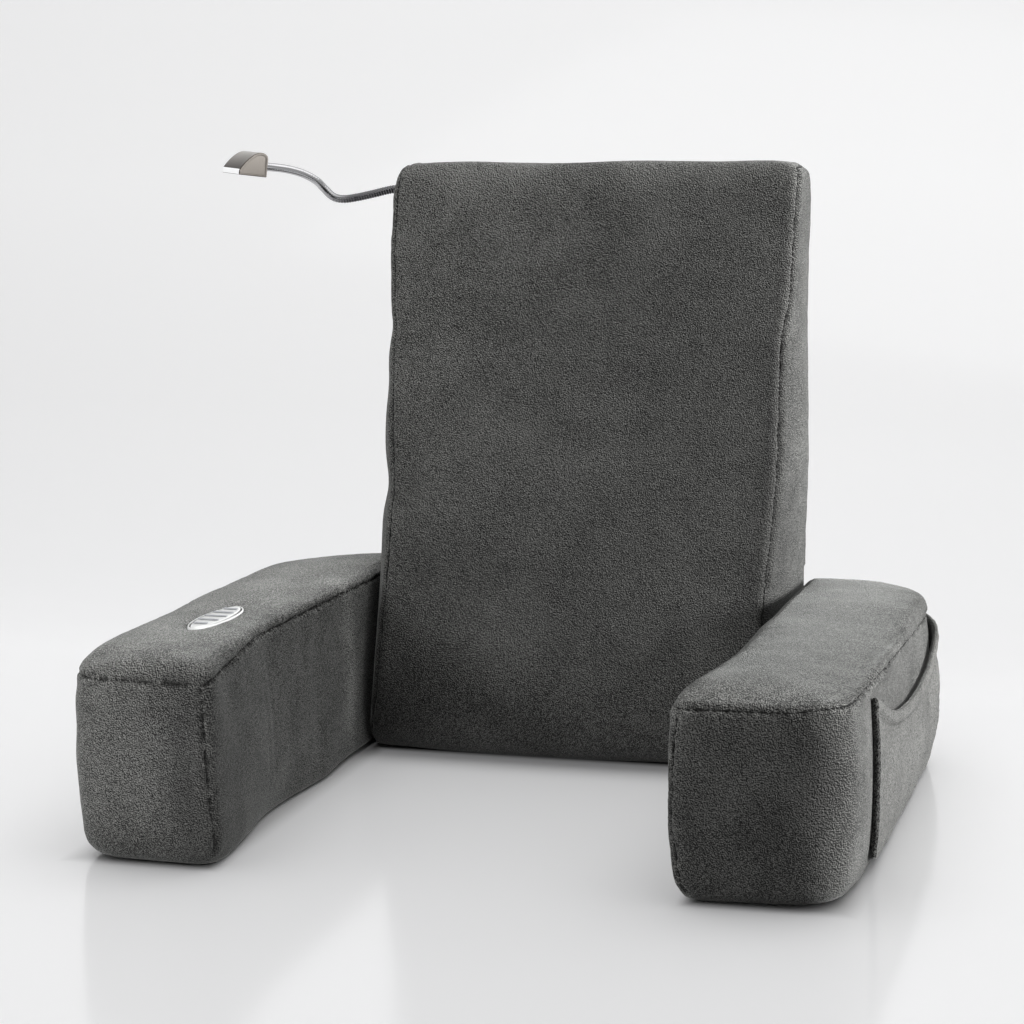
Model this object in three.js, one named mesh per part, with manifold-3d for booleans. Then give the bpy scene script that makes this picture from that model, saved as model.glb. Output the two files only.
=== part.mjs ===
// Massage cushion: a wedge-shaped bed rest with two arms, a patch pocket on one arm, an oval control pad
// on the other and a reading light on a flexible neck.
// Millimetres, +Z up. +X is to the right and -Y towards someone who faces the cushion. The origin lies
// on the floor, under the middle of the backrest's flat underside.
import * as THREE from 'three';
import { mergeVertices } from 'three/addons/utils/BufferGeometryUtils.js';
import Module from 'manifold-3d';

// Driving dimensions
const SEWN_GAP = 0.3;
const ARC_STEP = Math.PI / 10;
const OVAL_STEPS = 36;
const ROUND_SIDES = 20;
const BALL_ROWS = 8;
const SMALLEST_RADIUS = 2;
const BACK_Y = 60;

const BACKREST = {
  height: 530,
  topDepth: 51,
  floorDepth: 199,
  backHalfWidth: 190,
  frontCrown: 6,
  sideCrown: 2.5,
  sideFullness: { foot: 5, top: 2.2, from: 200 },
  topCorner: { left: 16, right: 12 },
  flatSideBelow: 165,
  crownFade: 90,
  seamDepth: 2.5,
  radii: { backFoot: 12, backTop: 14, frontTop: 22, frontFoot: 63 },
};

// Where the seams between the front panel and the side panels run, as distances from the middle plane
const FRONT_SEAMS = [
  { z: 0, left: 168, right: 175 },
  { z: 80, left: 167, right: 175 },
  { z: 174, left: 165, right: 177 },
  { z: 250, left: 165, right: 182 },
  { z: 313, left: 171, right: 181 },
  { z: 380, left: 175, right: 180 },
  { z: 402, left: 177, right: 185 },
  { z: 454, left: 180, right: 186 },
  { z: 530, left: 181, right: 187 },
];

// Rings of the backrest: share of the half width on the front, share of the outline on the side panels
const FRONT_SHARES = [0.978, 0.93, 0.82, 0.65, 0.44, 0.22];
const SIDE_SHARES = [0.35, 0.68, 0.88, 0.95, 0.983];
const SIDE_HEART = { behind: 62, z: 215 };

const ARM = {
  height: 157.4,
  cornerSeam: 1.5,
  innerBulge: 0.3,
  noseLength: 110,
  noseTaper: 0.5,
  besideBackrest: -190,
  besideFade: 80,
  rearRoll: { length: 150, innerShare: 0.3, innerOut: 215, outerOut: 300 },
  panelFallFrom: 0.5,
};

// Plan corners of each arm: out is the distance from the middle plane, behind the distance from the back
// plane, and runs the number of steps from there to the next corner. An arm may stand taller, lean outwards
// in front of the backrest and roll down at its rear.
const RIGHT_ARM = {
  name: 'arm_right',
  side: 1,
  lift: 0,
  lean: 0,
  rearDrop: 8,
  corners: [
    { out: 174, behind: 555, r: 8, runs: 3 },
    { out: 302, behind: 553, r: 40, runs: 6 },
    { out: 312, behind: 2, r: 82, runs: 2 },
    { out: 190.6, behind: 2, r: 9, runs: 7 },
    { out: 190.6, behind: 385, r: 300, runs: 4 },
  ],
};
const LEFT_ARM = {
  name: 'arm_left',
  side: -1,
  lift: 4,
  lean: 6,
  rearDrop: 2,
  corners: [
    { out: 172, behind: 557, r: 8, runs: 3 },
    { out: 291, behind: 555, r: 30, runs: 3 },
    { out: 305, behind: 260, r: 420, runs: 5 },
    { out: 309, behind: 0, r: 88, runs: 2 },
    { out: 190.6, behind: 2, r: 9, runs: 7 },
    { out: 190, behind: 400, r: 300, runs: 4 },
  ],
};

// Rows of an arm's surface: the wall from its top seam to the floor, the top panel and the underside. The
// nose is how far the front face is drawn back at that height.
const ARM_WALL = [
  { z: 139, inset: 0.4, nose: 0 },
  { z: 120, inset: -1.8, nose: 0 },
  { z: 85, inset: -3.4, nose: 0 },
  { z: 45, inset: -3, nose: 1 },
  { z: 22, inset: -1.6, nose: 5 },
  { z: 10, inset: -0.4, nose: 10 },
  { z: 2, inset: 1.8, nose: 17 },
  { z: 0, inset: 4, nose: 20 },
];
const ARM_TOP = [
  { z: 147.5, inset: 0.2 },
  { z: 152.5, inset: 2.4 },
  { z: 155.4, inset: 7.5 },
];
const ARM_TOP_SEAM = { z: 143, inset: 1.4 };
const ARM_PANEL = [
  { z: 156.6, share: 0.9 },
  { z: 157.2, share: 0.76 },
  { z: 157.4, share: 0.58 },
  { z: 157.4, share: 0.3 },
];
const ARM_FOOT_SHARE = 0.5;

const POCKET = {
  thickness: 2.5,
  hemThickness: 4,
  hemHeight: 11,
  hemStep: 1.5,
  rows: [2, 10, 22, 45, 85],
  rim: { front: 138, rear: 127 },
  scoop: 31,
  scoopRise: 0.65,
  frontBehind: 450,
  scoopLength: 375,
  rearOut: 288,
  standOff: 8,
  fullFrom: 50,
  fullRise: 0.6,
  edgeGap: 0.5,
  columnsPerRun: 3,
};

const PAD = {
  centre: { x: -237, behind: 384 },
  length: 112,
  width: 31,
  rimWidth: 3,
  groove: 1.2,
  rimHeight: 3.2,
  faceHeight: 2.6,
  bars: 5,
  barPitch: 16.5,
  barWidth: 5.5,
  barHeight: 0.8,
  barMargin: 2.6,
};

const NECK = { radius: 3.5, sides: 10, jointGap: 0.3, stepLength: 7 };
// The neck's route, with its two bending points: out of the backrest's side, down, up and forward to the head
const NECK_ROOT = [
  { x: -191, behind: 20, z: 506.6 },
  { x: -197, behind: 20.5, z: 506.3 },
  { x: -204.5, behind: 22, z: 504.9 },
];
const NECK_MID = [
  { x: -204.5, behind: 22, z: 504.9 },
  { x: -216.5, behind: 24, z: 502 },
  { x: -232.5, behind: 26.5, z: 498.6 },
  { x: -245, behind: 29, z: 497.2 },
  { x: -254, behind: 31, z: 499.6 },
];
const NECK_TIP = [
  { x: -254, behind: 31, z: 499.6 },
  { x: -262, behind: 32, z: 507 },
  { x: -269, behind: 35, z: 514.5 },
  { x: -280, behind: 41, z: 521 },
  { x: -292, behind: 49, z: 525 },
  { x: -304, behind: 58, z: 527 },
  { x: -313, behind: 67, z: 528 },
];
const COLLAR = { innerGap: 0.4, outerRadius: 6.8, height: 3, lip: 1.2, x: -190.6 };

const HEAD = {
  turn: 46,
  tilt: 6,
  roll: -3,
  width: 38,
  depth: 28,
  lip: 4.5,
  height: 22,
  neckHeight: 9.5,
  lensInset: 2.5,
  lensDepth: 1.5,
  crown: { back: 0.27, front: 0.5, backCorner: 0.72, nose: { x: 0.8, z: 0.62 }, steps: 10 },
};

const CLOTH = { color: 0x55585a, roughness: 0.95, metalness: 0 };
const CHROME = { color: 0xc9c8c5, roughness: 0.15, metalness: 1 };

const { Manifold, Mesh: SolidMesh } = await startSolids();

async function startSolids() {
  const wasm = await Module();
  wasm.setup();
  return wasm;
}

// Small helpers

const lerp = THREE.MathUtils.lerp;
const smooth = (value, from, to) => THREE.MathUtils.smoothstep(value, from, to);

// Value of a table's column at a given key, in straight steps between its rows
function columnAt(rows, key, column, value) {
  const sorted = [...rows].sort((a, b) => a[key] - b[key]);
  if (value <= sorted[0][key]) return sorted[0][column];
  for (let i = 1; i < sorted.length; i += 1) {
    const low = sorted[i - 1];
    const high = sorted[i];
    if (value <= high[key]) {
      return lerp(low[column], high[column], (value - low[key]) / (high[key] - low[key]));
    }
  }
  return sorted.at(-1)[column];
}

// A closed outline of straight runs and round corners, as points with outward normals
function roundedOutline(corners) {
  const points = [];
  const count = corners.length;
  const arcs = corners.map((corner, i) => {
    const here = corner.at;
    const before = corners[(i + count - 1) % count].at.clone().sub(here).normalize();
    const after = corners[(i + 1) % count].at.clone().sub(here).normalize();
    const half = before.angleTo(after) / 2;
    const centre = before.clone().add(after).normalize().multiplyScalar(corner.r / Math.sin(half)).add(here);
    const reach = corner.r / Math.tan(half);
    return {
      centre,
      start: before.multiplyScalar(reach).add(here),
      end: after.multiplyScalar(reach).add(here),
      sweep: Math.PI - 2 * half,
    };
  });
  arcs.forEach((arc, i) => {
    const from = arc.start.clone().sub(arc.centre);
    const turn = Math.sign(from.cross(arc.end.clone().sub(arc.centre)));
    const steps = Math.max(2, Math.ceil(arc.sweep / ARC_STEP));
    for (let k = 0; k <= steps; k += 1) {
      const spoke = from.clone().rotateAround(new THREE.Vector2(), (turn * arc.sweep * k) / steps);
      points.push(spoke.add(arc.centre));
    }
    const next = arcs[(i + 1) % count].start;
    for (let k = 1; k < corners[i].runs; k += 1) {
      points.push(arc.end.clone().lerp(next, k / corners[i].runs));
    }
  });
  return withNormals(points);
}

// The same corners drawn in by a distance, with the round ones drawn in too
function insetCorners(corners, inset) {
  const area = Math.sign(THREE.ShapeUtils.area(corners.map(({ at }) => at)));
  const inward = (from, to) => {
    const along = to.clone().sub(from).normalize();
    return new THREE.Vector2(-along.y, along.x).multiplyScalar(area);
  };
  return corners.map((corner, i) => {
    const first = inward(corners.at(i - 1).at, corner.at);
    const second = inward(corner.at, corners[(i + 1) % corners.length].at);
    const shift = inset / (1 + first.dot(second));
    const hollow = first.cross(second) * area < 0;
    const r = hollow ? corner.r + inset : Math.max(SMALLEST_RADIUS, corner.r - inset);
    return { ...corner, at: corner.at.clone().addScaledVector(first.add(second), shift), r };
  });
}

function withNormals(points) {
  const area = THREE.ShapeUtils.area(points);
  return points.map((at, i) => {
    const before = points.at(i - 1);
    const after = points[(i + 1) % points.length];
    const along = after.clone().sub(before).normalize();
    const normal = new THREE.Vector2(along.y, -along.x).multiplyScalar(Math.sign(area));
    return { at, normal };
  });
}

// A closed solid from rings of points, with one point closing each end
function ringSolid(firstPole, rings, lastPole) {
  const count = rings[0].length;
  const vertices = [firstPole, ...rings.flat(), lastPole];
  const last = vertices.length - 1;
  const faces = [];
  const index = (ring, k) => 1 + ring * count + (k % count);
  for (let k = 0; k < count; k += 1) {
    faces.push([0, index(0, k + 1), index(0, k)]);
    faces.push([last, index(rings.length - 1, k), index(rings.length - 1, k + 1)]);
    for (let ring = 1; ring < rings.length; ring += 1) {
      faces.push([index(ring - 1, k), index(ring - 1, k + 1), index(ring, k)]);
      faces.push([index(ring - 1, k + 1), index(ring, k + 1), index(ring, k)]);
    }
  }
  return facedOut(vertices, faces);
}

function facedOut(vertices, faces) {
  let volume = 0;
  for (const [a, b, c] of faces) {
    volume += vertices[a].dot(vertices[b].clone().cross(vertices[c]));
  }
  const turned = volume < 0 ? faces.map(([a, b, c]) => [a, c, b]) : faces;
  const geometry = new THREE.BufferGeometry().setFromPoints(vertices);
  geometry.setIndex(turned.flat());
  return geometry;
}

function toSolid(geometry) {
  const bare = geometry.clone();
  bare.deleteAttribute('normal');
  bare.deleteAttribute('uv');
  const merged = mergeVertices(bare);
  const vertProperties = new Float32Array(merged.attributes.position.array);
  const triVerts = new Uint32Array(merged.index.array);
  return new Manifold(new SolidMesh({ numProp: 3, vertProperties, triVerts }));
}

function fromSolid(solid) {
  const mesh = solid.getMesh();
  const geometry = new THREE.BufferGeometry();
  geometry.setAttribute('position', new THREE.BufferAttribute(new Float32Array(mesh.vertProperties), 3));
  geometry.setIndex(new THREE.BufferAttribute(new Uint32Array(mesh.triVerts), 1));
  return geometry;
}

function part(name, geometry, finish) {
  const mesh = new THREE.Mesh(geometry, new THREE.MeshStandardMaterial(finish));
  mesh.name = name;
  return mesh;
}

const placed = ({ x, behind, z }) => new THREE.Vector3(x, BACK_Y - behind, z);

// Backrest: its side outline is carried across the width, and each side panel closes in rings to its middle

function backrestOutline() {
  const { height, topDepth, floorDepth, radii } = BACKREST;
  const corners = [
    { at: new THREE.Vector2(BACK_Y, 0), r: radii.backFoot, runs: 12 },
    { at: new THREE.Vector2(BACK_Y, height), r: radii.backTop, runs: 1 },
    { at: new THREE.Vector2(BACK_Y - topDepth, height), r: radii.frontTop, runs: 12 },
    { at: new THREE.Vector2(BACK_Y - floorDepth, 0), r: radii.frontFoot, runs: 3 },
  ];
  return roundedOutline(corners);
}

// Half width of the backrest at a point of its side: full at the back, drawn in towards the front seam
function backrestHalfWidth(y, z, left) {
  const { backHalfWidth, height, topDepth, floorDepth, sideFullness, topCorner } = BACKREST;
  const depth = lerp(floorDepth, topDepth, z / height);
  const share = THREE.MathUtils.clamp((BACK_Y - y) / depth, 0, 1);
  const seam = columnAt(FRONT_SEAMS, 'z', left ? 'left' : 'right', z);
  const corner = left ? topCorner.left : topCorner.right;
  const above = Math.max(0, z - (height - corner));
  const rounding = corner - Math.sqrt(corner * corner - above * above);
  const fullness = lerp(sideFullness.foot, sideFullness.top, smooth(z, sideFullness.from, height));
  return backHalfWidth - (backHalfWidth - seam) * share ** fullness - rounding;
}

function backrest() {
  const { frontCrown, sideCrown, flatSideBelow, crownFade, seamDepth } = BACKREST;
  const outline = backrestOutline();
  const heart = new THREE.Vector2(BACK_Y - SIDE_HEART.behind, SIDE_HEART.z);
  const spanRing = (share) => outline.map(({ at, normal }) => {
    const faceOn = Math.max(0, -normal.x);
    const raise = frontCrown * (1 - share * share) * faceOn;
    const edge = Math.abs(share) === 1 ? -seamDepth : raise;
    const y = at.x + normal.x * edge;
    const z = Math.max(0, at.y + normal.y * edge);
    return new THREE.Vector3(share * backrestHalfWidth(at.x, at.y, share < 0), y, z);
  });
  const sidePoint = (side, flat, share) => {
    const crown = sideCrown * (1 - share ** 4) * smooth(flat.y, flatSideBelow, flatSideBelow + crownFade);
    return new THREE.Vector3(side * (backrestHalfWidth(flat.x, flat.y, side < 0) + crown), flat.x, flat.y);
  };
  const sideRings = (side) => SIDE_SHARES.map((share) => outline.map(
    ({ at }) => sidePoint(side, heart.clone().lerp(at, share), share),
  ));
  const shares = [-1, ...FRONT_SHARES.map((share) => -share), 0, ...[...FRONT_SHARES].reverse(), 1];
  const rings = [...sideRings(-1), ...shares.map(spanRing), ...sideRings(1).reverse()];
  return ringSolid(sidePoint(-1, heart, 0), rings, sidePoint(1, heart, 0));
}

// Arms: the plan outline is carried up the wall, and the top panel and the underside close to the middle

function armOutline(arm, inset) {
  const corners = arm.corners.map(({ out, behind, r, runs }) => (
    { at: new THREE.Vector2(arm.side * out, BACK_Y - behind), r, runs }
  ));
  return roundedOutline(insetCorners(corners, inset));
}

// One ring of an arm's wall. A bulge and the lean fade out beside the backrest, where the two are sewn
// together, and a notch at the first corner is the upright seam there.
function armRing(arm, { z, inset, nose = 0 }) {
  const { out, behind, r } = arm.corners[0];
  const seamAt = new THREE.Vector2(arm.side * out, BACK_Y - behind);
  const middleX = (arm.side * (out + arm.corners[1].out)) / 2;
  const straight = armOutline(arm, Math.max(0, inset));
  return armOutline(arm, inset).map(({ at, normal }, i) => {
    const besideBackrest = smooth(at.y, ARM.besideBackrest, ARM.besideBackrest + ARM.besideFade);
    const facesBackrest = normal.x * arm.side < -0.5;
    const flatness = facesBackrest ? Math.max(besideBackrest, 1 - ARM.innerBulge) : 0;
    const flat = at.clone().lerp(straight[i].at, flatness);
    if (at.distanceTo(seamAt) < inset + r) flat.addScaledVector(normal, facesBackrest ? 0 : -ARM.cornerSeam);
    const lean = arm.side * arm.lean * (z / ARM.height - 0.5) * (1 - besideBackrest);
    const drawnBack = nose * (1 - smooth(flat.y, seamAt.y, seamAt.y + ARM.noseLength));
    const narrowed = lerp(flat.x, middleX, (drawnBack * ARM.noseTaper) / Math.abs(seamAt.x - middleX));
    return new THREE.Vector3(narrowed + lean, flat.y + drawnBack, raisedZ(arm, z, at));
  });
}

// The upper rows of a wall follow the arm's own height, and roll down at its rear outer corner
function raisedZ(arm, z, at) {
  const upper = smooth(z, 0, ARM_TOP_SEAM.z);
  const { length, innerShare, innerOut, outerOut } = ARM.rearRoll;
  const rear = smooth(at.y, BACK_Y - length, BACK_Y);
  const outer = lerp(innerShare, 1, smooth(at.x * arm.side, innerOut, outerOut));
  const drop = z > ARM_WALL[1].z ? arm.rearDrop * rear * outer : 0;
  return z + arm.lift * upper - drop;
}

function armSolid(arm) {
  const edge = [...ARM_TOP].reverse().map((row) => armRing(arm, row));
  const seam = armRing(arm, ARM_TOP_SEAM);
  const wall = ARM_WALL.map((row) => armRing(arm, row));
  const middle = seam.reduce((sum, p) => sum.add(p), new THREE.Vector3()).divideScalar(seam.length);
  const panel = ARM_PANEL.map(({ z, share }) => edge[0].map((p) => {
    const fall = (ARM_TOP.at(-1).z + arm.lift - p.z) * smooth(share, ARM.panelFallFrom, 1);
    return middle.clone().lerp(p, share).setZ(z + arm.lift - fall);
  })).reverse();
  const foot = wall.at(-1).map((p) => middle.clone().lerp(p, ARM_FOOT_SHARE).setZ(0));
  const top = middle.clone().setZ(ARM.height + arm.lift);
  return ringSolid(top, [...panel, ...edge, seam, ...wall, foot], middle.clone().setZ(0));
}

// Pocket: a sheet that follows the right arm's outer wall from its front edge round the rear corner. It is
// sewn along its front, foot and rear, stands off towards its scooped rim and has a thicker hem there.

function pocketColumns() {
  const outside = armOutline(RIGHT_ARM, 0).filter(({ at, normal }) => {
    const onSide = normal.x > 0.5 && at.y > BACK_Y - POCKET.frontBehind;
    const roundRear = normal.y > 0.3 && at.x > POCKET.rearOut;
    return onSide || roundRear;
  });
  const columns = [outside[0]];
  for (let i = 1; i < outside.length; i += 1) {
    for (let k = 1; k <= POCKET.columnsPerRun; k += 1) {
      const share = k / POCKET.columnsPerRun;
      const at = outside[i - 1].at.clone().lerp(outside[i].at, share);
      const normal = outside[i - 1].normal.clone().lerp(outside[i].normal, share).normalize();
      columns.push({ at, normal });
    }
  }
  return columns;
}

function pocket() {
  const columns = pocketColumns();
  const steps = columns.map(({ at }, i) => (i === 0 ? 0 : at.distanceTo(columns[i - 1].at)));
  const total = steps.reduce((sum, step) => sum + step, 0);
  let run = 0;
  const inner = [];
  const outer = [];
  columns.forEach(({ at, normal }, i) => {
    run += steps[i];
    const arch = Math.sin((Math.PI * run) / total);
    const dip = Math.sin(Math.PI * Math.min(1, run / POCKET.scoopLength));
    const level = lerp(POCKET.rim.front, POCKET.rim.rear, run / total);
    const rim = level - POCKET.scoop * smooth(dip, 0, POCKET.scoopRise);
    const hem = rim - POCKET.hemHeight;
    const heights = [...POCKET.rows, hem, hem + POCKET.hemStep, rim];
    const fullness = smooth(arch, 0, POCKET.fullRise);
    const place = (z, offset) => new THREE.Vector3(at.x + normal.x * offset, at.y + normal.y * offset, z);
    const wallAt = (z) => -columnAt(ARM_WALL, 'z', 'inset', z) + POCKET.edgeGap;
    const lift = (z) => POCKET.standOff * fullness * smooth(z, POCKET.rows[0], POCKET.fullFrom);
    const thick = (row) => (row < heights.length - 2 ? POCKET.thickness : POCKET.hemThickness);
    inner.push(heights.map((z) => place(z, wallAt(z) + lift(z))));
    outer.push(heights.map((z, row) => place(z, wallAt(z) + lift(z) + thick(row))));
  });
  return sheetSolid(inner, outer);
}

// A closed sheet from two grids of points that face each other
function sheetSolid(inner, outer) {
  const columns = inner.length;
  const rows = inner[0].length;
  const vertices = [...inner.flat(), ...outer.flat()];
  const index = (layer, column, row) => layer * columns * rows + column * rows + row;
  const faces = [];
  const quad = (a, b, c, d) => faces.push([a, b, c], [a, c, d]);
  for (let c = 1; c < columns; c += 1) {
    for (let r = 1; r < rows; r += 1) {
      quad(index(0, c - 1, r - 1), index(0, c - 1, r), index(0, c, r), index(0, c, r - 1));
      quad(index(1, c - 1, r - 1), index(1, c, r - 1), index(1, c, r), index(1, c - 1, r));
    }
    quad(index(0, c - 1, 0), index(0, c, 0), index(1, c, 0), index(1, c - 1, 0));
    quad(index(0, c, rows - 1), index(0, c - 1, rows - 1), index(1, c - 1, rows - 1), index(1, c, rows - 1));
  }
  for (let r = 1; r < rows; r += 1) {
    quad(index(0, 0, r), index(0, 0, r - 1), index(1, 0, r - 1), index(1, 0, r));
    const end = columns - 1;
    quad(index(0, end, r - 1), index(0, end, r), index(1, end, r), index(1, end, r - 1));
  }
  return facedOut(vertices, faces);
}

// Control pad: an oval rim and a face inside it, with bars across the face

function ovalShape(halfWidth, halfLength) {
  return new THREE.Shape().absellipse(0, 0, halfWidth, halfLength, 0, 2 * Math.PI);
}

function raised(shape, depth, z) {
  const solid = new THREE.ExtrudeGeometry(shape, { depth, bevelEnabled: false, curveSegments: OVAL_STEPS });
  return solid.translate(0, 0, z);
}

function controlPad() {
  const white = { color: 0xeeefef, roughness: 0.35, metalness: 0 };
  const grey = { color: 0x85878c, roughness: 0.45, metalness: 0 };
  const group = new THREE.Group();
  group.position.copy(placed({ ...PAD.centre, z: ARM.height + LEFT_ARM.lift + SEWN_GAP }));
  const inside = { width: PAD.width / 2 - PAD.rimWidth, length: PAD.length / 2 - PAD.rimWidth };
  const rim = ovalShape(PAD.width / 2, PAD.length / 2);
  rim.holes.push(ovalShape(inside.width, inside.length));
  group.add(part('pad_rim', raised(rim, PAD.rimHeight, 0), white));
  const face = { width: inside.width - PAD.groove, length: inside.length - PAD.groove };
  group.add(part('pad_face', raised(ovalShape(face.width, face.length), PAD.faceHeight, 0), white));
  for (let i = 0; i < PAD.bars; i += 1) {
    const along = (i - (PAD.bars - 1) / 2) * PAD.barPitch;
    const farEdge = (Math.abs(along) + PAD.barWidth / 2) / face.length;
    const reach = face.width * Math.sqrt(1 - farEdge ** 2) - PAD.barMargin;
    const bar = new THREE.Shape([
      new THREE.Vector2(-reach, along - PAD.barWidth / 2),
      new THREE.Vector2(reach, along - PAD.barWidth / 2),
      new THREE.Vector2(reach, along + PAD.barWidth / 2),
      new THREE.Vector2(-reach, along + PAD.barWidth / 2),
    ]);
    group.add(part(`pad_bar_${i + 1}`, raised(bar, PAD.barHeight, PAD.faceHeight + SEWN_GAP), grey));
  }
  return group;
}

// Reading light: a flexible neck in three stretches with ball ends where it bends, and a quarter-round head

function neckTube(route, startTrim, ballEnd) {
  const curve = new THREE.CatmullRomCurve3(route.map(placed), false, 'centripetal');
  const length = curve.getLength();
  const from = startTrim / length;
  const steps = Math.max(4, Math.round(length / NECK.stepLength));
  const points = [];
  for (let i = 0; i <= steps; i += 1) {
    points.push(curve.getPointAt(lerp(from, 1, i / steps)));
  }
  const path = new THREE.CatmullRomCurve3(points, false, 'centripetal');
  const section = [];
  for (let i = 0; i < NECK.sides; i += 1) {
    const angle = (2 * Math.PI * i) / NECK.sides;
    section.push(new THREE.Vector2(NECK.radius * Math.cos(angle), NECK.radius * Math.sin(angle)));
  }
  const tube = new THREE.ExtrudeGeometry(new THREE.Shape(section), { steps, extrudePath: path });
  if (!ballEnd) return tube;
  const end = points.at(-1);
  const ball = new THREE.SphereGeometry(NECK.radius, NECK.sides, BALL_ROWS).translate(end.x, end.y, end.z);
  return fromSolid(toSolid(tube).add(toSolid(ball)));
}

function collar() {
  const inner = NECK.radius + COLLAR.innerGap;
  const profile = [
    new THREE.Vector2(inner, 0),
    new THREE.Vector2(COLLAR.outerRadius, 0),
    new THREE.Vector2(COLLAR.outerRadius, COLLAR.height - COLLAR.lip),
    new THREE.Vector2(COLLAR.outerRadius - COLLAR.lip, COLLAR.height),
    new THREE.Vector2(inner, COLLAR.height),
    new THREE.Vector2(inner, 0),
  ];
  const black = { color: 0x2a2b2c, roughness: 0.6, metalness: 0 };
  const mesh = part('neck_collar', new THREE.LatheGeometry(profile, ROUND_SIDES), black);
  mesh.rotation.z = Math.PI / 2;
  mesh.position.copy(placed(NECK_ROOT[0])).setX(COLLAR.x);
  return mesh;
}

function lampHead() {
  const { width, depth, lip, height, neckHeight, lensInset, lensDepth, turn, tilt, roll } = HEAD;
  const { back, front, backCorner, nose, steps } = HEAD.crown;
  const side = new THREE.Shape();
  side.moveTo(0, 0);
  side.lineTo(depth, 0);
  side.lineTo(depth, lip);
  side.bezierCurveTo(depth * nose.x, height * nose.z, depth * front, height, depth * back, height);
  side.quadraticCurveTo(0, height, 0, height * backCorner);
  side.closePath();
  const upright = new THREE.ExtrudeGeometry(side, { depth: width, bevelEnabled: false, curveSegments: steps })
    .translate(0, 0, -width / 2).rotateX(Math.PI / 2);
  const recess = new THREE.BoxGeometry(depth - 2 * lensInset, width - 2 * lensInset, 2 * lensDepth)
    .translate(depth / 2, 0, 0);
  const body = fromSolid(toSolid(upright).subtract(toSolid(recess)));
  const lens = new THREE.BoxGeometry(
    depth - 2 * (lensInset + SEWN_GAP), width - 2 * (lensInset + SEWN_GAP), lensDepth - SEWN_GAP,
  ).translate(depth / 2, 0, (lensDepth - SEWN_GAP) / 2);
  const group = new THREE.Group();
  group.add(part('lamp_head', body, CHROME));
  group.add(part('lamp_lens', lens, { color: 0xf6f6f2, roughness: 0.2, metalness: 0 }));
  const [rollBy, tiltBy, turnBy] = [roll, -tilt, 180 + turn].map(THREE.MathUtils.degToRad);
  group.rotation.set(rollBy, tiltBy, turnBy, 'ZYX');
  const seat = new THREE.Vector3(-NECK.jointGap, 0, neckHeight).applyEuler(group.rotation);
  group.position.copy(placed(NECK_TIP.at(-1))).sub(seat);
  return group;
}

function readingLight() {
  const steel = { color: 0x8d8f92, roughness: 0.3, metalness: 1 };
  const trim = NECK.radius + NECK.jointGap;
  const group = new THREE.Group();
  group.add(collar());
  group.add(part('neck_root', neckTube(NECK_ROOT, 0, true), steel));
  group.add(part('neck_mid', neckTube(NECK_MID, trim, true), steel));
  group.add(part('neck_tip', neckTube(NECK_TIP, trim, false), steel));
  group.add(lampHead());
  return group;
}

const cushion = new THREE.Group();
cushion.add(part('back_wedge', backrest(), CLOTH));
cushion.add(part(LEFT_ARM.name, armSolid(LEFT_ARM), CLOTH));
cushion.add(part(RIGHT_ARM.name, armSolid(RIGHT_ARM), CLOTH));
cushion.add(part('side_pocket', pocket(), CLOTH));
cushion.add(controlPad());
cushion.add(readingLight());

export default cushion;
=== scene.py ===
# %% [markdown]
# # A plush massage cushion
#
# The CAD part gives the sizes, the bodies and the joints. This lesson dresses it: the three cushions are
# remeshed, swollen and given seams and pile, the pocket is laid as cloth, and the control pad and the
# reading light get rounded edges and finishes of their own.
#
# The part is loaded first. Its pieces are kept, and their boxes are read where a dressed piece is built to
# one.

# %% Load the part
import itertools
import math

import bmesh
import bpy
import numpy as np
from mathutils import Euler, Matrix, Vector, kdtree


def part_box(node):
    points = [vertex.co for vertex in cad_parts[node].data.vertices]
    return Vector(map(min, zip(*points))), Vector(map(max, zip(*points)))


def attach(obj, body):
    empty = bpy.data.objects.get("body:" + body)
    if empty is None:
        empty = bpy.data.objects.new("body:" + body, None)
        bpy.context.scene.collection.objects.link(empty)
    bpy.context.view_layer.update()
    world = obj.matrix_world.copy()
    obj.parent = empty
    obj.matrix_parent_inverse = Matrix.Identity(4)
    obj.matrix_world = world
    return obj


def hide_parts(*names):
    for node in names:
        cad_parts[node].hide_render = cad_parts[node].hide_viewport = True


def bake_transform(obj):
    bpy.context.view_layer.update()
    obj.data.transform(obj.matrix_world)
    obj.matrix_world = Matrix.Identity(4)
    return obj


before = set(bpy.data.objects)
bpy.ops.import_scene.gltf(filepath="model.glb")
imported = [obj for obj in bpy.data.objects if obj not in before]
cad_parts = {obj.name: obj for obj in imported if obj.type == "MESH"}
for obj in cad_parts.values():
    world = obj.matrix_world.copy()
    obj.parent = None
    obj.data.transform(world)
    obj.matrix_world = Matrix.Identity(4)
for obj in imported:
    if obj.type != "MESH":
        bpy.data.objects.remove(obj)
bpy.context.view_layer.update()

scene = bpy.context.scene

# %% [markdown]
# The camera stands where the photographer stood: a long lens, a little to the right and looking slightly
# down. Three angles would describe how it is turned, but a matrix is easier to check: it is built from the
# directions that the camera calls right, up and ahead.

# %% Camera
yaw, pitch, roll = (math.radians(angle) for angle in (15.18, 8.02, -0.23))
ahead = Vector((-math.sin(yaw) * math.cos(pitch), math.cos(yaw) * math.cos(pitch), -math.sin(pitch)))
level = Vector((math.cos(yaw), math.sin(yaw), 0))
rise = level.cross(ahead)
right = level * math.cos(roll) + rise * math.sin(roll)
up = rise * math.cos(roll) - level * math.sin(roll)

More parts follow.
